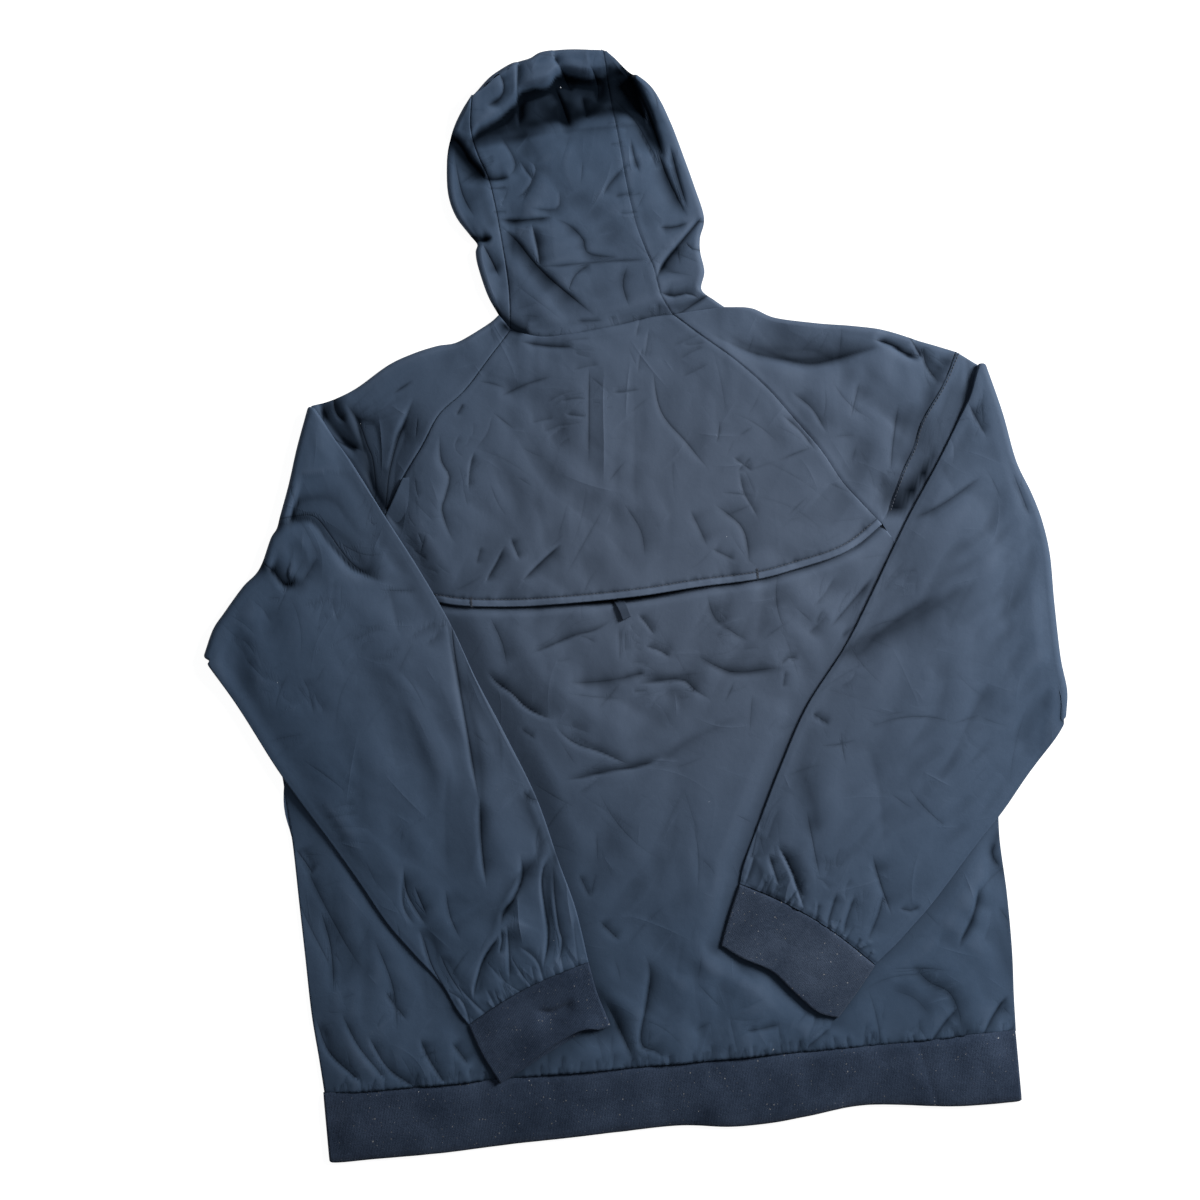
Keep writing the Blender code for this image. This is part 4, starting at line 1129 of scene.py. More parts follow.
def ring_rows(line, normal, face_height=None, back_height=None, half=HALF, axis=FOLD_AXIS):
    """Rings round a flattened tube. Line is (rows, points, 2) from edge to edge."""
    rows, count = line.shape[:2]
    half = np.broadcast_to(half, rows)[:, None]
    first, last = unit(line[:, 0] - line[:, 1]), unit(line[:, -1] - line[:, -2])
    inset_line = line.copy()
    share = np.linspace(1, 0, count)[None, :, None]
    inset_line -= half[..., None] * (first[:, None] * share ** 6 + last[:, None] * (1 - share) ** 6)
    lift_by = (axis + normal[:, 2] * (FOLD_AXIS - HALF))[:, None]
    middle = np.concatenate([inset_line, np.repeat(lift_by, count, axis=1)[..., None]], axis=2)
    middle[..., :2] += normal[:, None, :2] * (FOLD_AXIS - HALF)
    face = middle + normal[:, None] * half[..., None]
    back = middle - normal[:, None] * half[..., None]
    if face_height is not None:
        face[..., 2] = face_height(face)
    if back_height is not None:
        back[..., 2] = back_height(back)
    pick = np.linspace(count - 1, 0, UNDERSIDE).round().astype(int)
    ends = []
    for k, outward, order in ((-1, last, 1), (0, first, -1)):
        centre, spread = (face[:, k] + back[:, k]) / 2, (face[:, k] - back[:, k]) / 2
        for angle in np.radians([60, 30, 0, -30, -60])[::order]:
            tip = centre + spread * math.sin(angle)
            tip[:, :2] += outward * half * math.cos(angle)
            ends.append(tip[:, None])
    return np.concatenate([face, *ends[:5], back[:, pick], *ends[5:]], axis=1)


def flat_floor(points):
    return np.full(points.shape[:2], SLEEVE_FLOOR)


def edge_distance(line):
    """Distance from each point of a line to the nearer edge of the tube."""
    run = np.concatenate([np.zeros((len(line), 1)),
                          np.cumsum(np.linalg.norm(np.diff(line, axis=1), axis=2), axis=1)], axis=1)
    return np.minimum(run, run[:, -1:] - run)

# %% One sleeve
def sleeve(name, fold, table, armhole, seam_bow, creases, sign, flip, seed, headings, corner):
    upper_rows, lower_rows, turn_rows = 186, 36, 13
    fold_line = curve(fold, FACE)
    chord = between(fold_line[:1], fold_line[-1:], FACE)[0]
    across = fold_line[-1] - fold_line[0]
    out = np.array([across[1], -across[0]]) / np.linalg.norm(across)
    out *= sign * np.sign(out[0])
    start = fold_line - out * FOLD_AXIS
    inner, outer = (spline([pair[k] for pair in table], upper_rows) for k in (0, 1))
    at = np.linspace(0, len(table) - 1, upper_rows)[:, None, None]
    upper = between(inner, outer, FACE) + (fold_line - chord)[None] * (1 - smooth(at / 2.5))
    to_elbow = np.linspace(0, 1, FACE)[None, :, None] ** 12
    upper = upper - out * FOLD_AXIS * (1 - smooth(at / (0.8 - corner * to_elbow)))
    bow = seam_bow * np.sin(np.linspace(0, math.pi, FACE))[:, None]
    upper += bow[None] * smooth((at - 8.6) / 1.4)
    lower = between(curve(armhole, FACE), start, lower_rows).transpose(1, 0, 2)[:-1]
    seam_line = upper[-1]

    def face_height(points):
        xy = points[..., :2].reshape(-1, 2)
        edge = edge_distance(points[..., :2])
        from_fold = gap_to(points, fold_line) - FOLD_AXIS
        top = mix(SLEEVE_TOP, SLEEVE_EDGE, smooth(from_fold / 40))
        crown = (4.4 * smooth(edge / 55) * smooth(from_fold / 60)
                 + 0.5 * smooth(edge / 5) * smooth(from_fold / 9))
        soft = unevenness(xy, 1.0, seed, headings).reshape(edge.shape)
        folds = creased(xy, creases).reshape(edge.shape)
        z = (top + crown + soft * smooth(edge / 20) * smooth(from_fold / 16)
             + folds * smooth(from_fold / 7))
        seam = gap_to(points, seam_line)
        return np.maximum(z - 0.9 * np.exp(-(seam / 2.6) ** 2), SLEEVE_FLOOR + 1.6)

    def on_body(points):
        xy = points[..., :2].reshape(-1, 2)
        return np.maximum(yoke_height(xy) - (0 if sign > 0 else 1.2), 2.2).reshape(points.shape[:2])

    down = np.tile([0.0, 0.0, -1.0], (len(lower), 1))
    rings = [ring_rows(lower, down, back_height=on_body)]
    for angle in np.linspace(-math.pi / 2, math.pi / 2, turn_rows):
        normal = np.array([[*(math.cos(angle) * out), math.sin(angle)]])
        rings.append(ring_rows(start[None], normal))
    up = np.tile([0.0, 0.0, 1.0], (upper_rows - 1, 1))
    slim = mix(HALF, 1.5, smooth(at[1:, 0, 0] / 0.8))
    rings.append(ring_rows(upper[1:], up, face_height, flat_floor, slim))
    rows = np.concatenate(rings)
    rows[..., 2] = np.maximum(rows[..., 2], NYLON_WALL)
    return shell(name, rows, closed=True, flip=flip, folds=Folds(creases, seed, (DROP_SEAM,)),
                 shade=sleeve_shade)

# %% Both sleeves
ARMHOLE_LEFT = marked("-259,186 -252,110 -238,38 -282,-22 -315,-86")
ARMHOLE_RIGHT = [(303.4, 184), *[(x + 0.4, y) for x, y in DROP_RIGHT[::-1]],
                 (226.4, 40), (270, -36), (308, -118)]
BOW_LEFT, BOW_RIGHT = np.array([-2.0, 5.0]), np.array([4.0, 6.0])
sleeve_left = sleeve("sleeve_cloth_left", FOLD_LEFT, SLEEVE_LEFT, ARMHOLE_LEFT, BOW_LEFT,
                     LEFT_SLEEVE_CREASES, -1, False, 41, (-66, -80, -45), 0.65)
sleeve_right = sleeve("sleeve_cloth_right", FOLD_RIGHT, SLEEVE_RIGHT, ARMHOLE_RIGHT, BOW_RIGHT,
                      RIGHT_SLEEVE_CREASES, 1, True, 47, (-120, -108, -140), 0.5)

# %% [markdown]
# ## The cuffs
# Each cuff is a short tube of doubled knit, narrower than the sleeve that is gathered into
# it. Its mouth stays a little open, and the lower layer of the left one peeps out.

# %% Cuffs
CUFF_CREASES = creases_from("""
-114,-351 -102,-356 -88,-353 -78,-345 | 5 3.4 -0.5
-100,-362 -86,-361 -76,-356 | 5 -1.4 0
-150,-372 -128,-366 | 7 0.9 0
92,-300 120,-322 | 9 0.9 0
118,-338 138,-352 | 6 0.8 0.3
""")


CUFF_TOP = 8.9
CUFF_WALL = 1.1


def cuff(name, table, top_line, mouth, opening, flip, peep):
    rows, count = 34, 56
    low = curve(mouth, count)
    high = top_line(count)
    inner = curve([high[0], table[1][0], low[0]], rows)
    outer = curve([high[-1], table[1][1], low[-1]], rows)
    plan = patch(inner, outer, high, low)

    def face_height(points):
        xy = points[..., :2].reshape(-1, 2)
        edge = edge_distance(points[..., :2])
        seam, open_end = gap_to(points, high), gap_to(points, low)
        z = CUFF_TOP + 1.7 * smooth(edge / 24) + 0.25 * unevenness(xy, 1.0, 60).reshape(edge.shape)
        z = z + creased(xy, CUFF_CREASES).reshape(edge.shape)
        return z - 0.6 * np.exp(-(seam / 2) ** 2) + opening * (1 - smooth(open_end / 16))

    up = np.tile([0.0, 0.0, 1.0], (rows, 1))
    rings = ring_rows(plan, up, face_height, flat_floor, 1.9)
    under = slice(count + 5, count + 5 + UNDERSIDE)
    shift = unit(low[len(low) // 2][None] - high[len(high) // 2][None])[0] * peep
    fade = smooth(np.linspace(0, 1, rows)[:, None, None] * 2 - 1)
    sway = np.sin(np.linspace(0.15, math.pi - 0.15, UNDERSIDE))[None, :, None]
    rings[:, under, :2] += shift * fade * sway
    return shell(name, rings, wall=CUFF_WALL, closed=True, flip=flip)


def cuff_seam(table, bow):
    """The seam line shared with the sleeve, moved a hair towards the mouth."""
    def line(count):
        straight = between(np.array([table[0][0]], float), np.array([table[0][1]], float), count)[0]
        bowed = straight + bow * np.sin(np.linspace(0, math.pi, count))[:, None]
        down = np.array(table[-1][0]) - np.array(table[0][0])
        return bowed + down / np.linalg.norm(down) * 0.5
    return line


cuff_left = cuff("cuff_knit_left", CUFF_LEFT, cuff_seam(CUFF_LEFT, BOW_LEFT), CUFF_MOUTH_LEFT,
                 opening=2.2, flip=False, peep=4.5)
cuff_right = cuff("cuff_knit_right", CUFF_RIGHT, cuff_seam(CUFF_RIGHT, BOW_RIGHT), CUFF_MOUTH_RIGHT,
                  opening=0.0, flip=True, peep=1.0)

# %% [markdown]
# ## The hem band
# A doubled band of the same knit goes from one side of the zip, round both sides, to the
# other. Its path is a flat oval seen from the hem. The back of it swells softly, rolls in at
# its lower edge, and waves a little because the knit is stretched by the gathers above it.

# %% Hem band
HEM_CREASES = creases_from("""
216,-414 222,-440 228,-466 | 3.5 0.8 0 1 1
-120,-430 -60,-440 10,-436 | 14 0.6 0
60,-428 120,-446 200,-440 | 12 0.5 0
-240,-425 -200,-455 | 12 0.5 0
265,-425 280,-455 | 9 0.6 0
""")


def hem_band():
    radius = BACK / 2
    bottom = curve(HEM_BOTTOM, 400)
    low, high = -304 + radius, 302.5 - radius
    back_x = np.linspace(low, high, 300)
    front_left = np.linspace(ZIP_AT[0] - 14, low, 40)
    front_right = np.linspace(high, ZIP_AT[0] + 14, 40)
    turn = np.radians(np.linspace(-75, 75, 9))
    xs = np.concatenate([front_left, low - radius * np.cos(turn), back_x,
                         high + radius * np.cos(turn[::-1]), front_right])
    lay = np.concatenate([np.zeros(40), (1 + np.sin(turn)) / 2, np.ones(300),
                          (1 + np.sin(turn[::-1])) / 2, np.zeros(40)])
    rows = []
    for t in np.linspace(0, 1, 30):
        ends = np.interp(xs, bottom[:, 0], bottom[:, 1])
        y = mix(-409.6, ends, t)
        xy = np.column_stack([xs, y])
        inner = smooth((xs - low) / 25) * smooth((high - xs) / 25)
        swell = 1.9 * math.sin(math.pi * min(t * 1.02 + 0.06, 1)) ** 0.6
        soft = (0.3 * unevenness(xy, 1.0, 80) + creased(xy, HEM_CREASES)
                + 0.25 * ripple(xy * [1, 0.3], 16, 81))
        seam, rim = math.exp(-(t * 60 / 3.4) ** 2), smooth((t - 0.93) / 0.07)
        top = BACK + inner * (swell + soft) - 1.9 * seam - 1.8 * rim
        z = mix(np.full(len(xs), 0.25 + 0.9 * rim), top, lay)
        rows.append(np.column_stack([xy, z]))
    return shell("hem_knit", np.array(rows), wall=RIB_WALL, flip=True)


hem_rib = hem_band()

# %% [markdown]
# ## The hood
# The hood is a long centre panel between two side panels, here lying with its back up. Its
# front half is tucked underneath, so the crown makes a thick soft rim with a hollow below it,
# and the sides roll round the outline. Height comes from levels along the hood, a hollow
# between two drawn lines, and creases that run off the rim.

# %% Creases of the hood
HOOD_CREASES = creases_from("""
33,464 45,440 55,414 62,388 67,362 | 8 6.5 -0.5 1 0
58,392 66,360 74,338 82,318 | 6 3.2 -0.5
22,454 34,444 44,423 56,405 61,390 62,375 | 2.6 2.4 -0.4
35,453 46,440 55,422 60,407 62,392 | 2.6 2.2 -0.4
23,435 34,421 45,406 53,388 60,370 63,355 | 2.6 2.2 -0.4
41,411 49,393 56,375 59,360 | 2.4 1.8 0.4
71,389 74,369 78,346 83,324 | 3.5 2.4 -0.4
38,396 40,376 44,360 | 3 1.6 0
52,448 62,430 64,414 | 3 2 -0.5
-124,414 -117,411 -110,402 -103,389 -95,378 -88,364 | 8 7.5 -0.6 1 0
-96,372 -84,369 -68,370 | 6 3.5 0.3
-116,325 -109,321 -100,317 -88,319 | 7 10 0.2 1 0
-53,461 -56,437 -57,411 | 3.4 4 0.5 1 0
-62,388 -54,373 -50,365 -59,354 -68,350 | 4 1.5 0.5
-55,385 -46,376 -52,361 -63,343 | 4 1.3 0.5
-27,356 -31,338 -57,341 | 3.4 0.9 0.4
-20,464 -13,449 -9,439 | 5 5 0.4 1 0
-24,447 -18,428 -13,407 | 5 4 -0.4
0,436 2,414 | 4 2.4 0.3
8,458 14,444 12,426 | 4.5 3.2 0.3
-72,460 -67,449 -70,438 -85,430 | 6 3.2 0.5
-86,332 -70,316 -56,295 -42,278 -23,259 -4,240 | 8 2.8 -0.5 0 0
-55,331 -51,310 -50,283 | 4 2.6 0.5
-37,331 -22,323 -11,310 -7,297 25,290 | 5 1.4 -0.4
-84,334 -61,331 -33,331 | 4 2.2 -0.4
32,370 17,356 8,343 | 4 1.3 0.4
90,316 70,296 57,282 47,265 | 6 4.2 0.6 1 0
77,302 82,293 94,291 | 4.5 3 0.3 0 1
48,259 63,254 75,255 88,248 | 5 3.4 0.4
54,314 68,313 83,316 | 7 2.6 -0.3
-79,293 -41,289 6,289 56,286 | 2.2 1 0
-25,240 1,238 | 3 1.2 0
-75,409 -65,388 -64,377 -73,368 | 4.5 1.2 0.4
-100,318 -92,300 -86,283 | 6 2.6 0
-116,395 -112,360 -102,335 | 8 2 0
-96,256 -83,241 -70,233 -56,231 | 6 6.5 0 1 0
96,254 79,245 65,238 49,236 | 6 6 0 1 0
-30,262 -20,280 -2,290 | 9 2 0
24,246 20,268 26,285 | 8 1.6 0
-10,400 -20,372 -12,345 | 16 -1.6 0
""")

# %% Height of the hood
HOLLOW_LOW = curve(marked("""
    -105,398 -96,402 -79,404 -58,406 -37,409 -25,411 -15,408 -2,413 12,414 26,414 36,415 46,412
    53,410"""))
HOLLOW_HIGH = curve(marked("""
    -105,402 -94,416 -84,422 -70,429 -57,440 -49,446 -30,450 -20,457 -10,457 9,453 23,455 32,459
    42,454 48,434 54,412"""))
HOOD_LEVELS = marked("""
    228,8.2 255,10.2 300,11.4 350,11.2 385,10.4 405,9.6 430,17 448,22 460,22.6 480,20.5""")
HOLLOW_FLOOR = 5.0
NECK_EDGE = curve([(-90, 252), *NECK, (107, 241)])
SEAM_L = curve(HOOD_SEAM_LEFT)
SEAM_R = curve(HOOD_SEAM_RIGHT)
HOOD_CREASES += gathers(HOOD_SEAM_RIGHT[4:], (-40, 400), 31, 14, 18, 2.4, 0.8)
HOOD_CREASES += gathers(HOOD_SEAM_RIGHT[4:], (70, 400), 32, 14, 20, 2.4, 1.0)
HOOD_CREASES += gathers(HOOD_SEAM_LEFT[3:], (-40, 380), 33, 12, 18, 2.4, 0.8)
HOOD_CREASES += gathers(NECK, (-10, 300), 34, 24, 13, 2.2, 0.9)


def in_hollow(xy, steep=13, soft=8):
    """One in the hollow under the crown, zero outside it. Soft is how far its low side fades."""
    x, y = xy.T
    low = np.interp(x, HOLLOW_LOW[:, 0], HOLLOW_LOW[:, 1])
    high = np.interp(x, HOLLOW_HIGH[:, 0], HOLLOW_HIGH[:, 1])
    below, above = smooth((y - low + soft) / (2 * soft)), smooth((high - y + 2) / steep)
    return below * above * smooth((high - low) / 14)


def hood_height(xy):
    hollow = in_hollow(xy)
    z = np.interp(xy[:, 1], *zip(*HOOD_LEVELS)) + over_zip(xy, 1.0)
    z = mix(z, HOLLOW_FLOOR + 1.6 * (1 + ripple(xy, 21, 95)), hollow)
    z = z + unevenness(xy, 1.0, 90, (75, -60, 20)) + 0.8 * creased(xy, HOOD_CREASES)
    for line in (SEAM_L, SEAM_R):
        z = z + seam_dip(xy, line, 0.2)
    close = gap_to(xy, NECK_EDGE)
    near = close < 16
    z[near] = mix(yoke_height(xy[near]) - 0.7, z[near], smooth(close[near] / 16))
    return np.clip(z, 3.0, 24.0)

# %% Shade of the hood
SHADE_LINES = creases_from("""
25,454 35,434 46,413 56,392 63,370 | 9 0.75 0 1 0
37,456 48,435 56,415 60,395 62,375 | 4 0.7 0 1 0
64,374 70,354 77,329 | 5 0.45 0 0 0
-90,433 -75,436 -57,447 | 8 0.35 0 0 0
-95,404 -85,410 -68,409 | 8 0.4 0 0 0
-110,323 -92,317 | 6.5 1.2 0 1 1
-80,329 -69,313 -58,295 -45,279 -29,265 | 5 0.4 0 0 0
-52,333 -49,316 -48,301 | 5 0.35 0 0 0
-122,412 -114,405 -106,392 -98,380 -86,370 -72,370 | 9 0.8 0 1 0
-116,324 -108,321 -98,319 | 5 1.2 0 1 0
-92,254 -82,243 -70,235 -57,232 | 8 1.3 0 1 0
-100,400 -70,402 -20,408 30,408 | 12 0.3 0 1 1
-98,372 -94,352 -90,335 -80,322 | 10 0.4 0 1 0
-82,320 -66,302 -50,280 -30,258 | 9 0.25 0
""")


def hood_shade(xy):
    """Painted shade in the hollow under the crown, darker towards the right, and in the deep
    creases beside it.
    """
    painted_shade = -creased(xy, SHADE_LINES) - 0.05 * creased(xy, HOOD_CREASES)
    uneven = 0.84 + 0.16 * ripple(xy, 15, 96)
    dark = 0.86 + 0.12 * smooth((xy[:, 0] + 60) / 60)
    return np.clip(dark * in_hollow(xy, 20, 9) * uneven + painted_shade, 0, 0.97)


# %% [markdown]
# The two side panels start at their seams and roll round the outline. The centre panel ends
# at the crown, where it rolls round in the same way, so all three meet in one soft rim.

# %% Hood panels
HOOD_MIDDLE = np.array([-18.0, 345.0])
ROLL = 5.0


def hood_side(name, seam, edge, flip, sign):
    rows, across = 150, 34
    line = curve(seam)
    seam, edge = curve(seam, rows), curve(edge, rows)
    seam[:, 0] -= sign * 1.2
    inner = np.column_stack([np.full(rows, HOOD_MIDDLE[0]),
                             mix(edge[:, 1], HOOD_MIDDLE[1], smooth((edge[:, 1] - 380) / 70))])
    inner[:10] = mix(seam[:10], inner[:10], np.linspace(0, 1, 10)[:, None])
    away = unit(edge - inner)
    reach = np.linalg.norm(edge - seam, axis=1)
    size = np.minimum(ROLL, 0.5 * reach)
    turn = edge - away * size[:, None]
    tuck = np.where(edge[:, 1] < 262, np.minimum(reach, 22), 26)
    height = tucked(hood_height, line, -sign)
    grid = rolled(between(seam, turn, across), edge, away, size, height, tuck)
    return shell(name, grid, flip=flip, folds=Folds(HOOD_CREASES, 90), shade=hood_shade)


def hood_centre():
    rows, across = 160, 92
    crown = curve(CROWN, across)
    away = unit(crown - HOOD_MIDDLE)
    room = np.minimum(np.linspace(0, 1, across), np.linspace(1, 0, across)) / 0.15
    size = mix(1.5, ROLL, smooth(room))
    turn = crown - away * size[:, None]
    left, right = curve(HOOD_SEAM_LEFT, rows), curve(HOOD_SEAM_RIGHT, rows)
    left[-1], right[-1] = turn[0], turn[-1]
    neck = curve(NECK, across) + [0, -1.4]
    neck[0], neck[-1] = left[0], right[0]
    plan = patch(left, right, neck, turn).transpose(1, 0, 2)
    tuck = np.full(across, 26.0)
    grid = rolled(plan, crown, away, size, hood_height, tuck)
    return shell("hood_cloth_centre", grid, flip=True, folds=Folds(HOOD_CREASES, 90),
                 shade=hood_shade)


hood_mid = hood_centre()
hood_left = hood_side("hood_cloth_left", HOOD_SEAM_LEFT, HOOD_EDGE_LEFT, True, -1)
hood_right = hood_side("hood_cloth_right", HOOD_SEAM_RIGHT, HOOD_EDGE_RIGHT, False, 1)

# %% [markdown]
# ## What the jacket lies on: the front half of the hood and the two fronts
# These pieces are hidden when the jacket lies with its back up, so they are plain. The front
# of the hood is folded into the hood as one soft pad of cloth. The fronts lie on the floor,
# rise a little over the zip slider and meet the back at the side seams.

# %% Front half of the hood, folded inside
def folded_front():
    levels = np.linspace(246, 446, 84)
    left_edge, right_edge = curve(HOOD_EDGE_LEFT), curve(HOOD_EDGE_RIGHT)
    close = 13 + 22 * smooth((levels - 410) / 40)
    left = np.interp(levels, left_edge[:, 1], left_edge[:, 0]) + close
    right = np.interp(levels, np.maximum.accumulate(right_edge[:, 1]), right_edge[:, 0]) - close
    plan = between(np.column_stack([left, levels]), np.column_stack([right, levels]), 70)
    top = with_height(plan, lambda xy: hood_height(xy) - 2.0)
    ends = np.minimum(np.minimum(np.arange(70), np.arange(70)[::-1])[None, :] / 5,
                      np.minimum(np.arange(84), np.arange(84)[::-1])[:, None] / 5)
    floor = 0.95
    top[..., 2] = np.maximum(mix(floor + 0.35, top[..., 2], smooth(ends)), floor + 0.35)
    under = top[:, ::-1].copy()
    under[..., 2] = floor
    rings = np.concatenate([top, under[:, ::3]], axis=1)
    caps = []
    for row in (rings[:1], rings[-1:]):
        centre = row.mean(axis=1, keepdims=True)
        centre[..., 2] = (floor + row[..., 2].max()) / 2
        caps.append(centre + (row - centre) * 1e-4)
    return shell("hood_front_cloth", np.concatenate([caps[0], rings, caps[1]]), wall=0, closed=True)


hood_front = folded_front()

# %% The two fronts, with their outer face down
def front(name, sign, side, raglan):
    zip_edge = ZIP_AT[0] + sign * 14.0
    neck = [(raglan[2][0] - sign * 3, raglan[2][1]), (ZIP_AT[0] + sign * 55, 205)]
    outer = curve(side + raglan[8:2:-1] + neck, 110)
    inner = np.column_stack([np.full(110, zip_edge), np.linspace(-411, 204, 110)])
    u = np.linspace(0, 1, 40)[None, :, None]
    plan = inner[:, None] * (1 - u) + outer[:, None] * u

    def height(xy):
        rise = 1.3 * smooth(1 - np.maximum(from_side(xy), 0) / 9) * (xy[:, 1] < -120)
        wave = 0.35 * (0.5 + 0.5 * ripple(xy, 60, 70)) + 0.2 * (0.5 + 0.5 * ripple(xy, 24, 71))
        return 0.15 + rise + wave + over_zip(xy, 4.2)

    return shell(name, with_height(plan, height), flip=sign > 0)


front_left = front("front_cloth_left", -1, SIDE_LEFT, RAGLAN_LEFT)
front_right = front("front_cloth_right", 1, SIDE_RIGHT, RAGLAN_RIGHT)

# %% [markdown]
# ## The hanging loop
# A short tape, folded on itself, comes out from under the flap at the middle of the back. Its
# two layers are one strip of cloth here: out along the top, round the fold and back below.

# %% Hanging loop
def hanging_loop():
    root, along, across = np.array([-12.5, 3.0]), np.array([0.36, -0.93]), np.array([0.93, 0.36])
    reach, wide, thick = 26.5, 8.0, 2.4
    fold, turn = reach - 1.2, np.linspace(0.2, math.pi - 0.2, 7)
    runs = np.concatenate([np.linspace(-6, fold, 30), fold + 1.2 * np.sin(turn),
                           np.linspace(fold, -6, 30)])
    layer = np.concatenate([np.ones(30), (1 + np.cos(turn)) / 2, np.zeros(30)])
    rows = []
    for run, up in zip(runs, layer):
        u = np.linspace(-0.5, 0.5, 11)
        bend = 1.2 * math.sin(run / 9)
        xy = root + along * run + across * (wide * u + bend)[:, None]
        pinch = 1.0 * math.exp(-((run - 4) / 5) ** 2) * np.cos(u * 9)
        lift_by = 0.9 * smooth((run - 8) / 16) * (0.4 + u) + 0.5 * smooth((run - 10) / 12)
        z = lower_height(xy) + 0.7 + thick * up + lift_by + pinch * up
        rows.append(np.column_stack([xy, z]))
    return shell("hanging_loop_tape", np.array(rows), wall=0.6, flip=True)


hang_loop = hanging_loop()

# %% [markdown]
# ## Stitches
# Topstitching is the same small thread shape repeated along a line, so Geometry Nodes make
# it. The line goes in as a chain of edges that lies on the cloth. The nodes turn it into a
# curve, put a point at every stitch, and set one thread on each point, along the curve.

# %% Helpers for node trees
def feed(tree, socket, value):
    """Links a socket to another node's output, or gives it a plain value."""
    if isinstance(value, bpy.types.NodeSocket):
        tree.links.new(value, socket)
    else:
        socket.default_value = value


def add_node(tree, kind, inputs=None, **settings):
    node = tree.nodes.new(kind)
    for key, value in settings.items():
        setattr(node, key, value)
    for key, value in (inputs or {}).items():
        feed(tree, node.inputs[key], value)
    return node


def new_tree(name, sockets):
    tree = bpy.data.node_groups.new(name, "GeometryNodeTree")
    tree.interface.new_socket("Geometry", in_out="INPUT", socket_type="NodeSocketGeometry")
    for label, kind in sockets:
        tree.interface.new_socket(label, in_out="INPUT", socket_type=kind)
    tree.interface.new_socket("Geometry", in_out="OUTPUT", socket_type="NodeSocketGeometry")
    return tree, add_node(tree, "NodeGroupInput"), add_node(tree, "NodeGroupOutput")


# %% A tree that repeats one shape along a line
def repeat_tree(name, size_sockets, finish, shape_of, turned):
    """Nodes that set one small shape at every step of a line, turned along it or not."""
    tree, start, end = new_tree(name, [
        ("Pitch", "NodeSocketFloat"), *size_sockets, (finish, "NodeSocketMaterial")])
    given = start.outputs
    line = add_node(tree, "GeometryNodeMeshToCurve", {"Mesh": given["Geometry"]})
    points = add_node(tree, "GeometryNodeCurveToPoints", mode="LENGTH")
    feed(tree, points.inputs["Curve"], line.outputs["Curve"])
    feed(tree, points.inputs["Length"], given["Pitch"])
    place = add_node(tree, "GeometryNodeInstanceOnPoints", {
        "Points": points.outputs["Points"], "Instance": shape_of(tree, given)})
    if turned:
        feed(tree, place.inputs["Rotation"], points.outputs["Rotation"])
    real = add_node(tree, "GeometryNodeRealizeInstances", {"Geometry": place.outputs["Instances"]})
    paint = add_node(tree, "GeometryNodeSetMaterial", {
        "Geometry": real.outputs["Geometry"], "Material": given[finish]})
    feed(tree, end.inputs["Geometry"], paint.outputs["Geometry"])
    return tree


def one_stitch(tree, given):
    """A thread: a small ball stretched to the stitch's length."""
    ball = add_node(tree, "GeometryNodeMeshUVSphere", {"Segments": 6, "Rings": 4, "Radius": 1.0})
    half = add_node(tree, "ShaderNodeMath", {0: given["Stitch Length"], 1: 0.5},
                    operation="MULTIPLY")
    radius = given["Thread Radius"]
    size = add_node(tree, "ShaderNodeCombineXYZ", {"X": radius, "Y": radius, "Z": half.outputs[0]})
    shape = add_node(tree, "GeometryNodeTransform", {
        "Geometry": ball.outputs["Mesh"], "Scale": size.outputs[0]})
    return shape.outputs["Geometry"]


def one_tooth(tree, given):
    return add_node(tree, "GeometryNodeMeshCube", {"Size": given["Tooth Size"]}).outputs["Mesh"]


# %% The plain mesh that a tree makes
def made_by(tree, name, source, values):
    """The plain mesh that a tree makes from a source mesh with the given input values."""
    carrier = in_scene(name + "_source", source)
    maker = carrier.modifiers.new("maker", "NODES")
    maker.node_group = tree
    sockets = {item.name: item.identifier for item in tree.interface.items_tree
               if item.in_out == "INPUT"}
    for label, value in values.items():
        maker[sockets[label]] = value
    bpy.context.view_layer.update()
    ready = carrier.evaluated_get(bpy.context.evaluated_depsgraph_get())
    mesh = bpy.data.meshes.new_from_object(ready)
    carrier.modifiers.remove(maker)
    bpy.data.objects.remove(carrier)
    mesh.name = name
    print(name, "faces:", len(mesh.polygons))
    return in_scene(name, mesh)


def chain_mesh(lines):
    """One mesh of edge chains, from lists of points in mm."""
    points, edges = [], []
    for line in lines:
        first = len(points)
        points += [tuple(p * MM) for p in np.asarray(line, float)]
        edges += [(k, k + 1) for k in range(first, len(points) - 1)]
    mesh = bpy.data.meshes.new("chain")
    mesh.from_pydata(points, edges, [])
    return mesh


def on_cloth(line, height, above=0.12):
    line = np.asarray(line, float)
    return np.column_stack([line, height(line) + above])


# %% [markdown]
# ## Materials
# Nylon for a windbreaker is a tight plain weave with only a faint, soft gloss. Its colour
# is nearly even, with slow random changes of tone, warmer and a little paler towards the middle
# of the back, with shade painted into its folds and a painted highlight on its ridges, and its
# surface is full of very fine crinkles too small for the mesh. The knit is darker and has no
# gloss at all, with fine upright ribs and white lint caught in it. Shared effects are node
# groups that give only values, and each material has its own shader.

# %% Node groups: weave, crinkle, lint and tone
def shader_group(name, inputs, outputs):
    tree = bpy.data.node_groups.new(name, "ShaderNodeTree")
    for label, kind, value in inputs:
        made = tree.interface.new_socket(label, in_out="INPUT", socket_type=kind)
        if value is not None:
            made.default_value = value
    for label, kind in outputs:
        tree.interface.new_socket(label, in_out="OUTPUT", socket_type=kind)
    return tree, add_node(tree, "NodeGroupInput"), add_node(tree, "NodeGroupOutput")


def math_node(tree, operation, *values, clamp=False):
    return add_node(tree, "ShaderNodeMath", dict(enumerate(values)), operation=operation,
                    use_clamp=clamp).outputs[0]


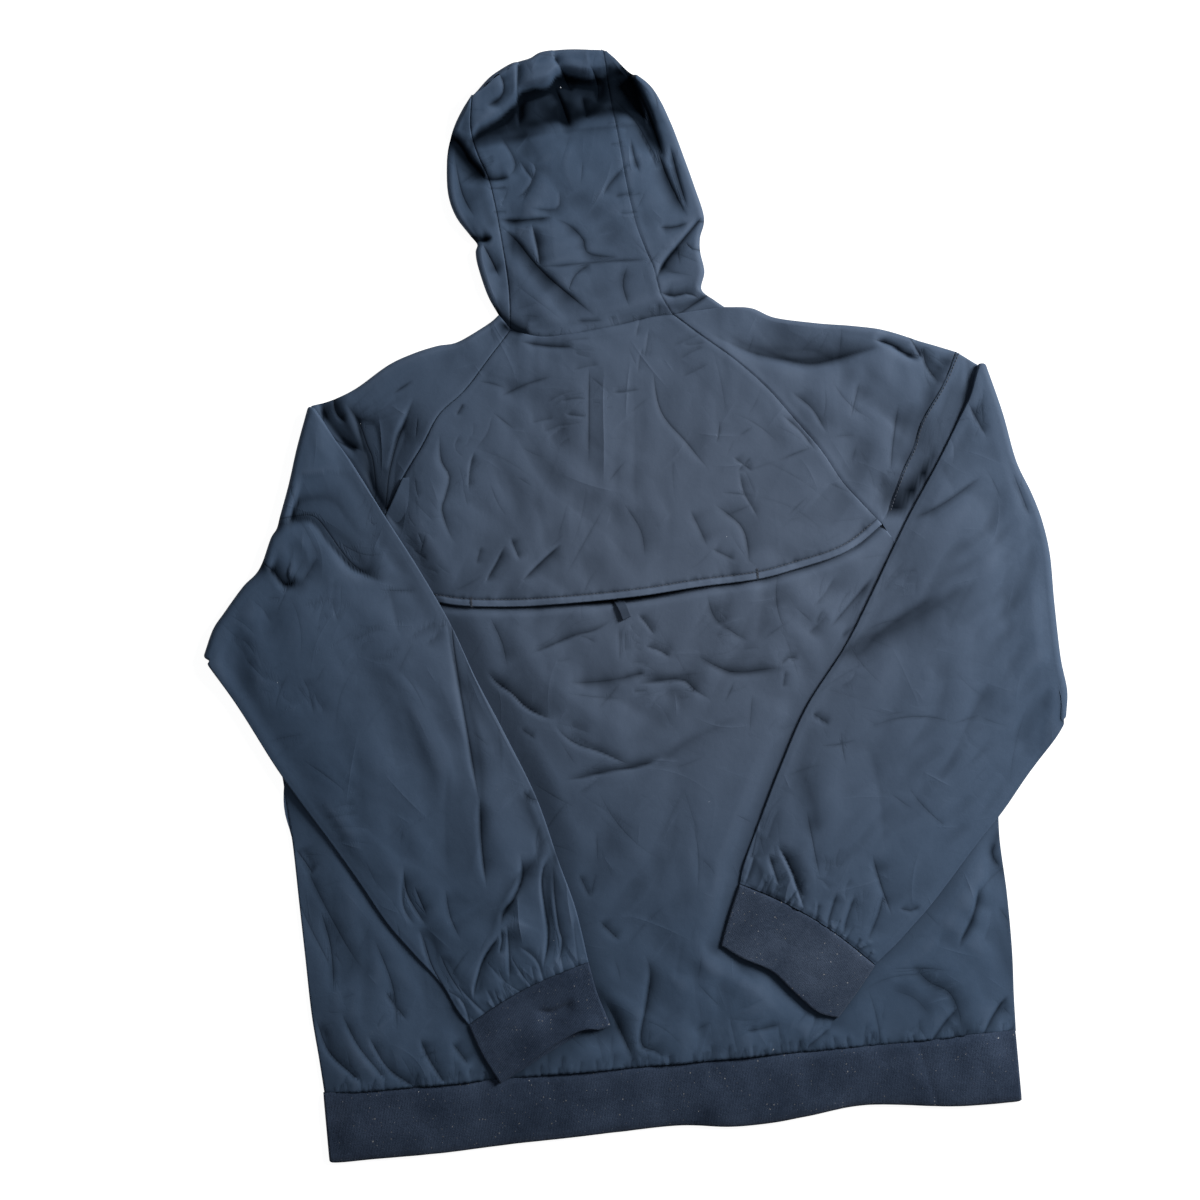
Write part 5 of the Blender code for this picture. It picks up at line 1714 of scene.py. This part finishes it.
def noise_at(tree, vector, scale, detail=2.0, roughness=0.5):
    return add_node(tree, "ShaderNodeTexNoise", {
        "Vector": vector, "Scale": scale, "Detail": detail, "Roughness": roughness}).outputs["Fac"]


FLOAT, VECTOR = "NodeSocketFloat", "NodeSocketVector"


def weave_group():
    """Threads over and under each other. Height is 0 to 1."""
    tree, start, end = shader_group("plain_weave", [
        ("Map", VECTOR, None), ("Threads", FLOAT, 1600.0)], [("Height", FLOAT)])
    parts = add_node(tree, "ShaderNodeSeparateXYZ", {0: start.outputs["Map"]}).outputs
    threads = start.outputs["Threads"]
    waves = [math_node(tree, "SINE", math_node(tree, "MULTIPLY", parts[k], threads))
             for k in (0, 1)]
    feed(tree, end.inputs["Height"],
         math_node(tree, "MULTIPLY_ADD", math_node(tree, "MULTIPLY", *waves), 0.5))
    return tree

# %% Crinkle
def crinkle_group():
    """Fine creases in patches: soft noise, plus thin lines where a second noise crosses zero."""
    tree, start, end = shader_group("fine_crinkle", [
        ("Place", VECTOR, None), ("Scale", FLOAT, 90.0)], [("Height", FLOAT)])
    place, scale = start.outputs["Place"], start.outputs["Scale"]
    base = noise_at(tree, place, scale, 5.0, 0.55)
    fold = noise_at(tree, place, math_node(tree, "MULTIPLY", scale, 0.55), 2.0, 0.5)
    off = math_node(tree, "ABSOLUTE", math_node(tree, "SUBTRACT", fold, 0.5))
    line = math_node(tree, "SUBTRACT", 1.0, math_node(tree, "MULTIPLY", off, 16.0), clamp=True)
    patch_of = noise_at(tree, place, math_node(tree, "MULTIPLY", scale, 0.16), 1.0)
    patches = math_node(tree, "SUBTRACT", patch_of, 0.45, clamp=True)
    share = math_node(tree, "MULTIPLY", patches, 4.0, clamp=True)
    lines = math_node(tree, "MULTIPLY", math_node(tree, "MULTIPLY", line, share), 0.35)
    feed(tree, end.inputs["Height"], math_node(tree, "SUBTRACT", base, lines))
    return tree

# %% Lint
def lint_group():
    """White specks and short fibres. Mask is one on a speck."""
    tree, start, end = shader_group("caught_lint", [
        ("Place", VECTOR, None), ("Scale", FLOAT, 180.0), ("Size", FLOAT, 0.12),
        ("Share", FLOAT, 0.3)], [("Mask", FLOAT)])
    given = start.outputs
    warp = add_node(tree, "ShaderNodeTexNoise", {"Scale": 700.0, "Vector": given["Place"]})
    shift = add_node(tree, "ShaderNodeVectorMath", {0: warp.outputs["Color"], "Scale": 0.0016},
                     operation="SCALE")
    moved = add_node(tree, "ShaderNodeVectorMath", {0: given["Place"], 1: shift.outputs[0]},
                     operation="ADD")
    cells = add_node(tree, "ShaderNodeTexVoronoi", {
        "Vector": moved.outputs[0], "Scale": given["Scale"]})
    pick = add_node(tree, "ShaderNodeSeparateXYZ", {0: cells.outputs["Color"]}).outputs
    near = math_node(tree, "LESS_THAN", cells.outputs["Distance"],
                     math_node(tree, "MULTIPLY", pick[1], given["Size"]))
    chosen = math_node(tree, "LESS_THAN", pick[0], given["Share"])
    feed(tree, end.inputs["Mask"], math_node(tree, "MULTIPLY", near, chosen))
    return tree

# %% Tone
def tone_group():
    """Slow, uneven lightening, as handling and washing leave it. Tone is 0 to 1."""
    tree, start, end = shader_group("worn_tone", [
        ("Place", VECTOR, None), ("Scale", FLOAT, 9.0)], [("Tone", FLOAT)])
    place, scale = start.outputs["Place"], start.outputs["Scale"]
    slow = noise_at(tree, place, scale, 3.0, 0.55)
    quick = noise_at(tree, place, math_node(tree, "MULTIPLY", scale, 14.0), 4.0, 0.6)
    both = math_node(tree, "ADD", math_node(tree, "MULTIPLY", slow, 0.7),
                     math_node(tree, "MULTIPLY", quick, 0.3))
    feed(tree, end.inputs["Tone"], math_node(
        tree, "MULTIPLY_ADD", math_node(tree, "SUBTRACT", both, 0.5), 1.8, 0.5, clamp=True))
    return tree


GROUPS = {"weave": weave_group(), "crinkle": crinkle_group(), "lint": lint_group(),
          "tone": tone_group()}
print("shader groups:", ", ".join(tree.name for tree in GROUPS.values()))

# %% Building blocks of a material
def start_material(name):
    material = bpy.data.materials.new(name)
    material.use_nodes = True
    tree = material.node_tree
    shader = tree.nodes["Principled BSDF"]
    places = add_node(tree, "ShaderNodeTexCoord")
    return material, tree, shader, places


def use(tree, group, vector, **values):
    """A shared group in this material, with its own values."""
    node = add_node(tree, "ShaderNodeGroup", {0: vector, **values}, node_tree=GROUPS[group])
    return node.outputs[0]


def blend_colour(tree, share, a, b):
    a, b = ((*value, 1) if isinstance(value, tuple) else value for value in (a, b))
    node = add_node(tree, "ShaderNodeMix", {"Factor": share, 6: a, 7: b}, data_type="RGBA")
    return node.outputs[2]


def bump(tree, height, distance, strength, before=None):
    node = add_node(tree, "ShaderNodeBump", {
        "Height": height, "Distance": distance, "Strength": strength})
    if before is not None:
        feed(tree, node.inputs["Normal"], before)
    return node.outputs["Normal"]


def spread_of(tree, value, **limits):
    """A value stretched from one range to another."""
    return add_node(tree, "ShaderNodeMapRange", {"Value": value, **limits}).outputs["Result"]


def thread_map(tree):
    """The flat map, along which a panel's threads run."""
    return add_node(tree, "ShaderNodeUVMap", uv_map="thread").outputs["UV"]


# %% [markdown]
# The nylon's colours are a deep blue-grey navy and a slightly paler, warmer one. The crinkle
# is bump at two sizes, and the weave is a much finer bump that follows the thread lines of
# each panel. Shade is painted into the colour deep in a fold, where the gloss is also lowered,
# and along each sharp crease line, and a painted highlight lies on each ridge.

# %% Nylon
FOLD_SHADE_SHARE = 0.07    # share of the dark navy, for the painted shade at the bottom of a fold
RIDGE_HIGHLIGHT_GAIN = 1.7    # on the warm colour, for the painted highlight on a ridge
WARM_MIDDLE = (0.07, 0.03, 0.0)


def sharp_line(tree):
    """The sharp middle of a crease, finer than the mesh can hold, from two marks on the cloth."""
    off = add_node(tree, "ShaderNodeAttribute", attribute_name="line_off").outputs["Fac"]
    depth = add_node(tree, "ShaderNodeAttribute", attribute_name="line_depth").outputs["Fac"]
    away = math_node(tree, "MULTIPLY", math_node(tree, "ABSOLUTE", off), -1.1)
    sharp = math_node(tree, "MULTIPLY", math_node(tree, "EXPONENT", away), depth)
    return sharp, math_node(tree, "MULTIPLY", sharp, -1.0)


def nylon_colour(tree, place, tone, depth, fold_light_mark, sharp, dark, pale, warm):
    """Even dye, a warmer middle, painted shade in folds, painted highlights on ridges, painted
    shade along sharp lines, and a little lint.
    """
    # Warmer and a little paler towards a point near the middle of the back.
    far = add_node(tree, "ShaderNodeVectorMath", {0: place, 1: WARM_MIDDLE}, operation="DISTANCE")
    toward_middle = add_node(tree, "ShaderNodeMapRange", {
        "Value": far.outputs["Value"], "From Min": 0.42, "From Max": 0.06},
        interpolation_type="SMOOTHSTEP").outputs["Result"]
    # Painted highlight on a ridge, where its mark is high.
    ridge_highlight = spread_of(tree, fold_light_mark, **{"From Min": 0.66, "To Max": 0.35})
    # Colour of the painted shade deep in a fold.
    painted_shade = tuple(FOLD_SHADE_SHARE * part for part in dark)
    colour = blend_colour(tree, tone, dark, pale)
    colour = blend_colour(tree, toward_middle, colour, warm)
    colour = blend_colour(tree, depth, painted_shade, colour)
    colour = blend_colour(tree, ridge_highlight, colour, tuple(RIDGE_HIGHLIGHT_GAIN * part for part in warm))
    # Painted shade along each sharp crease line; the same dark line is drawn along the given seams.
    line = math_node(tree, "MULTIPLY", sharp, 1.1, clamp=True)
    colour = blend_colour(tree, line, colour, painted_shade)
    lint = use(tree, "lint", place, Scale=55.0, Size=0.05, Share=0.05)
    return blend_colour(tree, lint, colour, (0.35, 0.37, 0.4))


def nylon(name, dark, pale, warm, crinkle=1.0):
    material, tree, shader, places = start_material(name)
    place = places.outputs["Object"]
    tone = use(tree, "tone", place, Scale=9.0)
    fold_light_mark = add_node(tree, "ShaderNodeAttribute", attribute_name="fold_shade_ridge_light").outputs["Fac"]
    # Painted shade: zero deep in a fold, where the colour is the shade colour, one on open cloth.
    depth = spread_of(tree, fold_light_mark, **{"From Max": 0.62})
    sharp, height = sharp_line(tree)
    normal = bump(tree, height, 0.001, 1.0)
    for scale, distance in ((30.0, 0.0020), (120.0, 0.0006)):
        crinkles = use(tree, "crinkle", place, Scale=scale)
        normal = bump(tree, crinkles, distance, 0.22 * crinkle, normal)
    weave = use(tree, "weave", thread_map(tree), Threads=9000.0)
    # The gloss is lowered where shade is painted into a fold.
    for socket, value in (
            ("Base Color", nylon_colour(tree, place, tone, depth, fold_light_mark, sharp, dark, pale, warm)),
            ("Roughness", math_node(tree, "MULTIPLY_ADD", tone, 0.10, 0.58)),
            ("Specular IOR Level", math_node(tree, "MULTIPLY", depth, 0.06)),
            ("Normal", bump(tree, weave, 0.00006, 0.25, normal))):
        feed(tree, shader.inputs[socket], value)
    return material

# %% Body nylon, and the tape's
NAVY = (0.026, 0.044, 0.075)
NAVY_PALE = (0.036, 0.057, 0.093)
WARM_NAVY = (0.046, 0.062, 0.092)
body_nylon = nylon("navy_nylon", NAVY, NAVY_PALE, WARM_NAVY)
loop_nylon = nylon("navy_tape", (0.022, 0.032, 0.05), (0.03, 0.042, 0.062),
                   (0.026, 0.036, 0.055), crinkle=0.5)
print("nylon:", NAVY, "to", NAVY_PALE)

# %% [markdown]
# The rib knit is worked in two values along its flat map: upright ribs across the band, and
# the small uneven loops of each rib. Both are bump, with the valleys a little darker, since
# less light gets into them. Lint is thick here, because knit holds it.

# %% Rib knit
LINT = ((420.0, 0.22, 0.26, 0.10), (300.0, 0.17, 0.16, 0.17), (150.0, 0.075, 0.16, 0.26))


def rib_knit(name, dark, pale, ribs=4600.0):
    material, tree, shader, places = start_material(name)
    place = places.outputs["Object"]
    across = add_node(tree, "ShaderNodeSeparateXYZ", {0: thread_map(tree)}).outputs[0]
    wander = math_node(tree, "MULTIPLY", noise_at(tree, place, 160.0, 2.0), 1.6)
    wave = math_node(tree, "SINE", math_node(tree, "MULTIPLY_ADD", across, ribs, wander))
    rib = math_node(tree, "MULTIPLY_ADD", wave, 0.5, 0.5)
    loops = noise_at(tree, place, 700.0, 4.0, 0.75)
    tone = use(tree, "tone", place, Scale=26.0)
    both = math_node(tree, "ADD", math_node(tree, "MULTIPLY", rib, 0.18), loops)
    colour = blend_colour(tree, math_node(tree, "MULTIPLY", both, tone), dark, pale)
    for scale, size, share, grey in LINT:
        mask = use(tree, "lint", place, Scale=scale, Size=size, Share=share)
        colour = blend_colour(tree, mask, colour, (grey, grey * 1.02, grey * 1.06))
    for socket, value in (("Base Color", colour), ("Roughness", 0.92), ("Specular IOR Level", 0.1),
                          ("Sheen Weight", 0.04),
                          ("Normal", bump(tree, loops, 0.0009, 0.6, bump(tree, rib, 0.0003, 0.3)))):
        feed(tree, shader.inputs[socket], value)
    return material


knit = rib_knit("navy_rib_knit", (0.004, 0.009, 0.020), (0.046, 0.066, 0.108))
# Painted light: a paler copy of the knit for the right cuff, the one nearer the key lamp.
lit_knit = rib_knit("navy_rib_knit_lit", (0.009, 0.016, 0.031), (0.066, 0.088, 0.132))


# %% Thread, zip tape and zip metal
def plain(name, dark, pale, roughness, metallic, scale, distance):
    material, tree, shader, places = start_material(name)
    place = places.outputs["Object"]
    tone = use(tree, "tone", place, Scale=scale)
    grain = noise_at(tree, place, scale * 60, 3.0)
    for socket, value in (("Base Color", blend_colour(tree, tone, dark, pale)),
                          ("Roughness", math_node(tree, "MULTIPLY_ADD", tone, 0.2, roughness)),
                          ("Metallic", metallic), ("Normal", bump(tree, grain, distance, 0.4))):
        feed(tree, shader.inputs[socket], value)
    return material


thread = plain("navy_thread", (0.012, 0.018, 0.03), (0.03, 0.04, 0.06), 0.5, 0.0, 60.0, 0.0001)
zip_weave = plain("zip_tape_weave", (0.012, 0.016, 0.026), (0.024, 0.03, 0.044), 0.75, 0.0, 40.0,
                  0.0002)
zip_metal = plain("dark_zinc", (0.10, 0.105, 0.115), (0.2, 0.205, 0.22), 0.28, 1.0, 50.0, 0.00004)

# %% [markdown]
# ## Sewing it together
# The flap is topstitched along the turned hem, with a bar tack at each end of the vent. A
# single line of stitches shows on the dropped armhole seam.

# %% Stitches on the flap and seams
stitches = repeat_tree("stitches_along_a_line", [
    ("Stitch Length", "NodeSocketFloat"), ("Thread Radius", "NodeSocketFloat")],
    "Thread", one_stitch, turned=True)
top_line = on_cloth(HEM_LINE[12:-4], flap_height)
drop_line = on_cloth(beside(DROP_SEAM, -2.2), yoke_height, 0.3)


def tack(x, y0, y1):
    """A bar tack: close zigzag threads across the hem."""
    ys = np.linspace(y0, y1, 15)
    zig = np.column_stack([x + 0.8 * (-1.0) ** np.arange(15), ys])
    return on_cloth(zig, flap_height, 0.25)


flap_stitches = made_by(stitches, "flap_stitches", chain_mesh([top_line, drop_line]), {
    "Pitch": 3.2 * MM, "Stitch Length": 2.6 * MM, "Thread Radius": 0.36 * MM, "Thread": thread})
bar_tacks = made_by(stitches, "bar_tacks", chain_mesh([tack(-136, 0.6, 9), tack(114, 3, 11.4)]), {
    "Pitch": 0.9 * MM, "Stitch Length": 1.4 * MM, "Thread Radius": 0.3 * MM, "Thread": thread})

# %% [markdown]
# ## The zip
# The zip runs up the front, which is underneath here. Two woven tapes carry the teeth. One
# tooth is a small metal block, and nodes repeat it along each tape, with the two rows half
# a pitch apart so that they mesh. The slider and its pull come from the measured model.

# %% Zip tapes and teeth
def tape(name, sign):
    levels = np.linspace(-466, 209, 180)
    across = np.linspace(0.2, 13.3, 9)
    xs = ZIP_AT[0] + sign * across[None, :]
    plan = np.stack(np.broadcast_arrays(xs, levels[:, None]), axis=2)

    def height(xy):
        cord = 0.45 * np.exp(-((np.abs(xy[:, 0] - ZIP_AT[0]) - 2.2) / 0.9) ** 2)
        return 0.3 + over_zip(xy, 4.25) + cord

    return shell(name, with_height(plan, height), wall=0.4, flip=sign > 0)


teeth = repeat_tree("teeth_along_a_line", [("Tooth Size", "NodeSocketVector")],
                    "Metal", one_tooth, turned=False)
zip_left, zip_right = tape("zip_tape_cloth_left", -1), tape("zip_tape_cloth_right", 1)
PITCH = 2.6
lines = []
for sign, start_at in ((-1, -462.0), (1, -462.0 + PITCH / 2)):
    ys = np.arange(start_at, 206, 4.0)
    xy = np.column_stack([np.full(len(ys), ZIP_AT[0] + sign * 1.0), ys])
    lines.append(np.column_stack([xy, 0.6 + over_zip(xy, 4.25)]))
zip_teeth = made_by(teeth, "zip_teeth", chain_mesh(lines), {
    "Pitch": PITCH * MM, "Tooth Size": (3.6 * MM, 1.7 * MM, 1.1 * MM), "Metal": zip_metal})

# %% [markdown]
# ## Finishes, cuts and riders
# Each piece gets its finish and rides on the jacket. The pull tab is the only thing that
# moves. A table gives the size that each piece was cut to: width by length in metres, with the
# share of that rectangle that the piece fills, and that cut area is printed beside the laid area.

# %% Finishes
NYLON_PIECES = (back_lower, back_flap, shoulder_left, shoulder_right, sleeve_left, sleeve_right,
                hood_mid, hood_left, hood_right, hood_front, front_left, front_right)
for piece in NYLON_PIECES:
    piece.data.materials.append(body_nylon)
for piece, finish in ((cuff_left, knit), (cuff_right, lit_knit), (hem_rib, knit)):
    piece.data.materials.append(finish)
hang_loop.data.materials.append(loop_nylon)
for piece in (zip_left, zip_right):
    piece.data.materials.append(zip_weave)
for name in ("zip_slider", "zip_pull"):
    for slot in bpy.data.objects[name].material_slots:
        slot.material = zip_metal

# %% Riders and what each piece stands for
STANDS_FOR = [
    (back_lower, "back_lower"), (back_flap, "back_flap"), (shoulder_left, "shoulder_left"),
    (shoulder_right, "shoulder_right"), (sleeve_left, "sleeve_left"),
    (sleeve_right, "sleeve_right"), (hood_mid, "hood_centre"), (hood_left, "hood_side_left"),
    (hood_right, "hood_side_right"), (hood_front, "hood_front_folds"),
    (front_left, "front_left"), (front_right, "front_right"), (cuff_left, "cuff_left"),
    (cuff_right, "cuff_right"), (hem_rib, "hem_rib"), (hang_loop, "hang_loop"),
    (zip_left, "zip_tape_left"), (zip_right, "zip_tape_right")]
for piece, node in STANDS_FOR:
    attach(piece, "jacket")
    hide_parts(node)
for piece in (flap_stitches, bar_tacks, zip_teeth):
    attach(piece, "jacket")

# %% Cut sizes
# piece, width, length, share of that rectangle, held, what it lies on, pieces that go with it
CUTS = [
    (front_left, 0.297, 0.616, 0.835, "laid", [], []),
    (front_right, 0.302, 0.616, 0.828, "laid", [], []),
    (back_lower, 0.628, 0.530, 0.905, "laid", [front_left, front_right], []),
    (back_flap, 0.464, 0.243, 0.705, "laid", [back_lower], [flap_stitches, bar_tacks]),
    (shoulder_left, 0.180, 0.214, 0.50, "laid", [front_left], []),
    (shoulder_right, 0.243, 0.201, 0.53, "laid", [front_right], []),
    (sleeve_left, 0.500, 0.600, 0.645, "folded", [back_lower, shoulder_left], []),
    (sleeve_right, 0.520, 0.600, 0.657, "folded", [back_lower, shoulder_right], []),
    (hood_mid, 0.160, 0.250, 0.88, "laid", [hood_front], []),
    (hood_left, 0.062, 0.215, 0.84, "laid", [hood_front], []),
    (hood_right, 0.093, 0.235, 0.885, "laid", [hood_front], []),
    (hood_front, 0.199, 0.200, 0.86, "folded", [], []),
    (cuff_left, 0.240, 0.060, 0.91, "gathered", [back_lower], []),
    (cuff_right, 0.270, 0.062, 0.94, "gathered", [back_lower], []),
    (hem_rib, 1.190, 0.060, 1.0, "laid", [], []),
    (hang_loop, 0.010, 0.070, 0.86, "hung", [back_lower], []),
    (zip_left, 0.0132, 0.675, 1.0, "laid", [], [zip_teeth]),
    (zip_right, 0.0132, 0.675, 1.0, "laid", [], []),
]
DOUBLE = (back_lower, back_flap, hood_front)
for piece, width, length, share, held, on, extra in CUTS:
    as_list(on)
    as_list(extra)
    faces = 2 if piece in DOUBLE else 1
    made = sum(polygon.area for polygon in piece.data.polygons) / faces
    print(piece.name, "cut", round(width * length * share, 4), "m2, laid", round(made, 4), "m2")

# %% [markdown]
# ## Floor, light and camera
# The jacket lies on a plain floor that glows just enough to stay white. A key lamp low on the
# right draws the creases. A weak one from above and an even pale sky fill the shadows. The
# camera looks straight down, turned a few degrees, and frames the jacket from hood to hem.

# %% Floor
def floor():
    mesh = bpy.data.meshes.new("floor")
    reach = 6.0
    mesh.from_pydata([(-reach, -reach, -0.0006), (reach, -reach, -0.0006), (reach, reach, -0.0006),
                      (-reach, reach, -0.0006)], [], [(0, 1, 2, 3)])
    piece = in_scene("floor", mesh)
    material, tree, shader, places = start_material("white_floor")
    tone = use(tree, "tone", places.outputs["Object"], Scale=2.0)
    colour = blend_colour(tree, tone, (0.22, 0.22, 0.22), (0.24, 0.24, 0.24))
    for socket, value in (("Base Color", colour), ("Roughness", 0.9),
                          ("Emission Color", (1, 1, 1, 1)), ("Emission Strength", 0.93)):
        feed(tree, shader.inputs[socket], value)
    mesh.materials.append(material)


floor()


# %% Light
def lamp(name, place, aim, size, power, colour):
    data = bpy.data.lights.new(name, "AREA")
    data.shape = "DISK"
    data.size = size
    data.energy = power
    data.color = colour
    piece = in_scene(name, data)
    piece.location = place
    piece.rotation_euler = (Vector(aim) - Vector(place)).to_track_quat("-Z", "Y").to_euler()


lamp("key_lamp", (1.62, 0.66, 1.08), (0, 0, 0), 0.8, 94, (1.0, 0.99, 0.975))
lamp("fill_lamp", (-0.4, 1.2, 2.2), (0, 0, 0), 1.2, 5, (0.95, 0.97, 1.0))
world = bpy.data.worlds.new("pale_sky")
world.use_nodes = True
world.node_tree.nodes["Background"].inputs["Color"].default_value = (0.93, 0.96, 1.0, 1)
world.node_tree.nodes["Background"].inputs["Strength"].default_value = 0.18
bpy.context.scene.world = world
bpy.context.scene.view_settings.view_transform = "Standard"
bpy.context.scene.view_settings.look = "None"

# %% Camera
camera_data = bpy.data.cameras.new("camera")
camera_data.lens = 50
camera_data.sensor_width = 36
camera = in_scene("camera", camera_data)
camera.location = (-0.0245, -0.0034, 1.457)
camera.rotation_euler = (0, 0, math.radians(-5.2))
bpy.context.scene.camera = camera
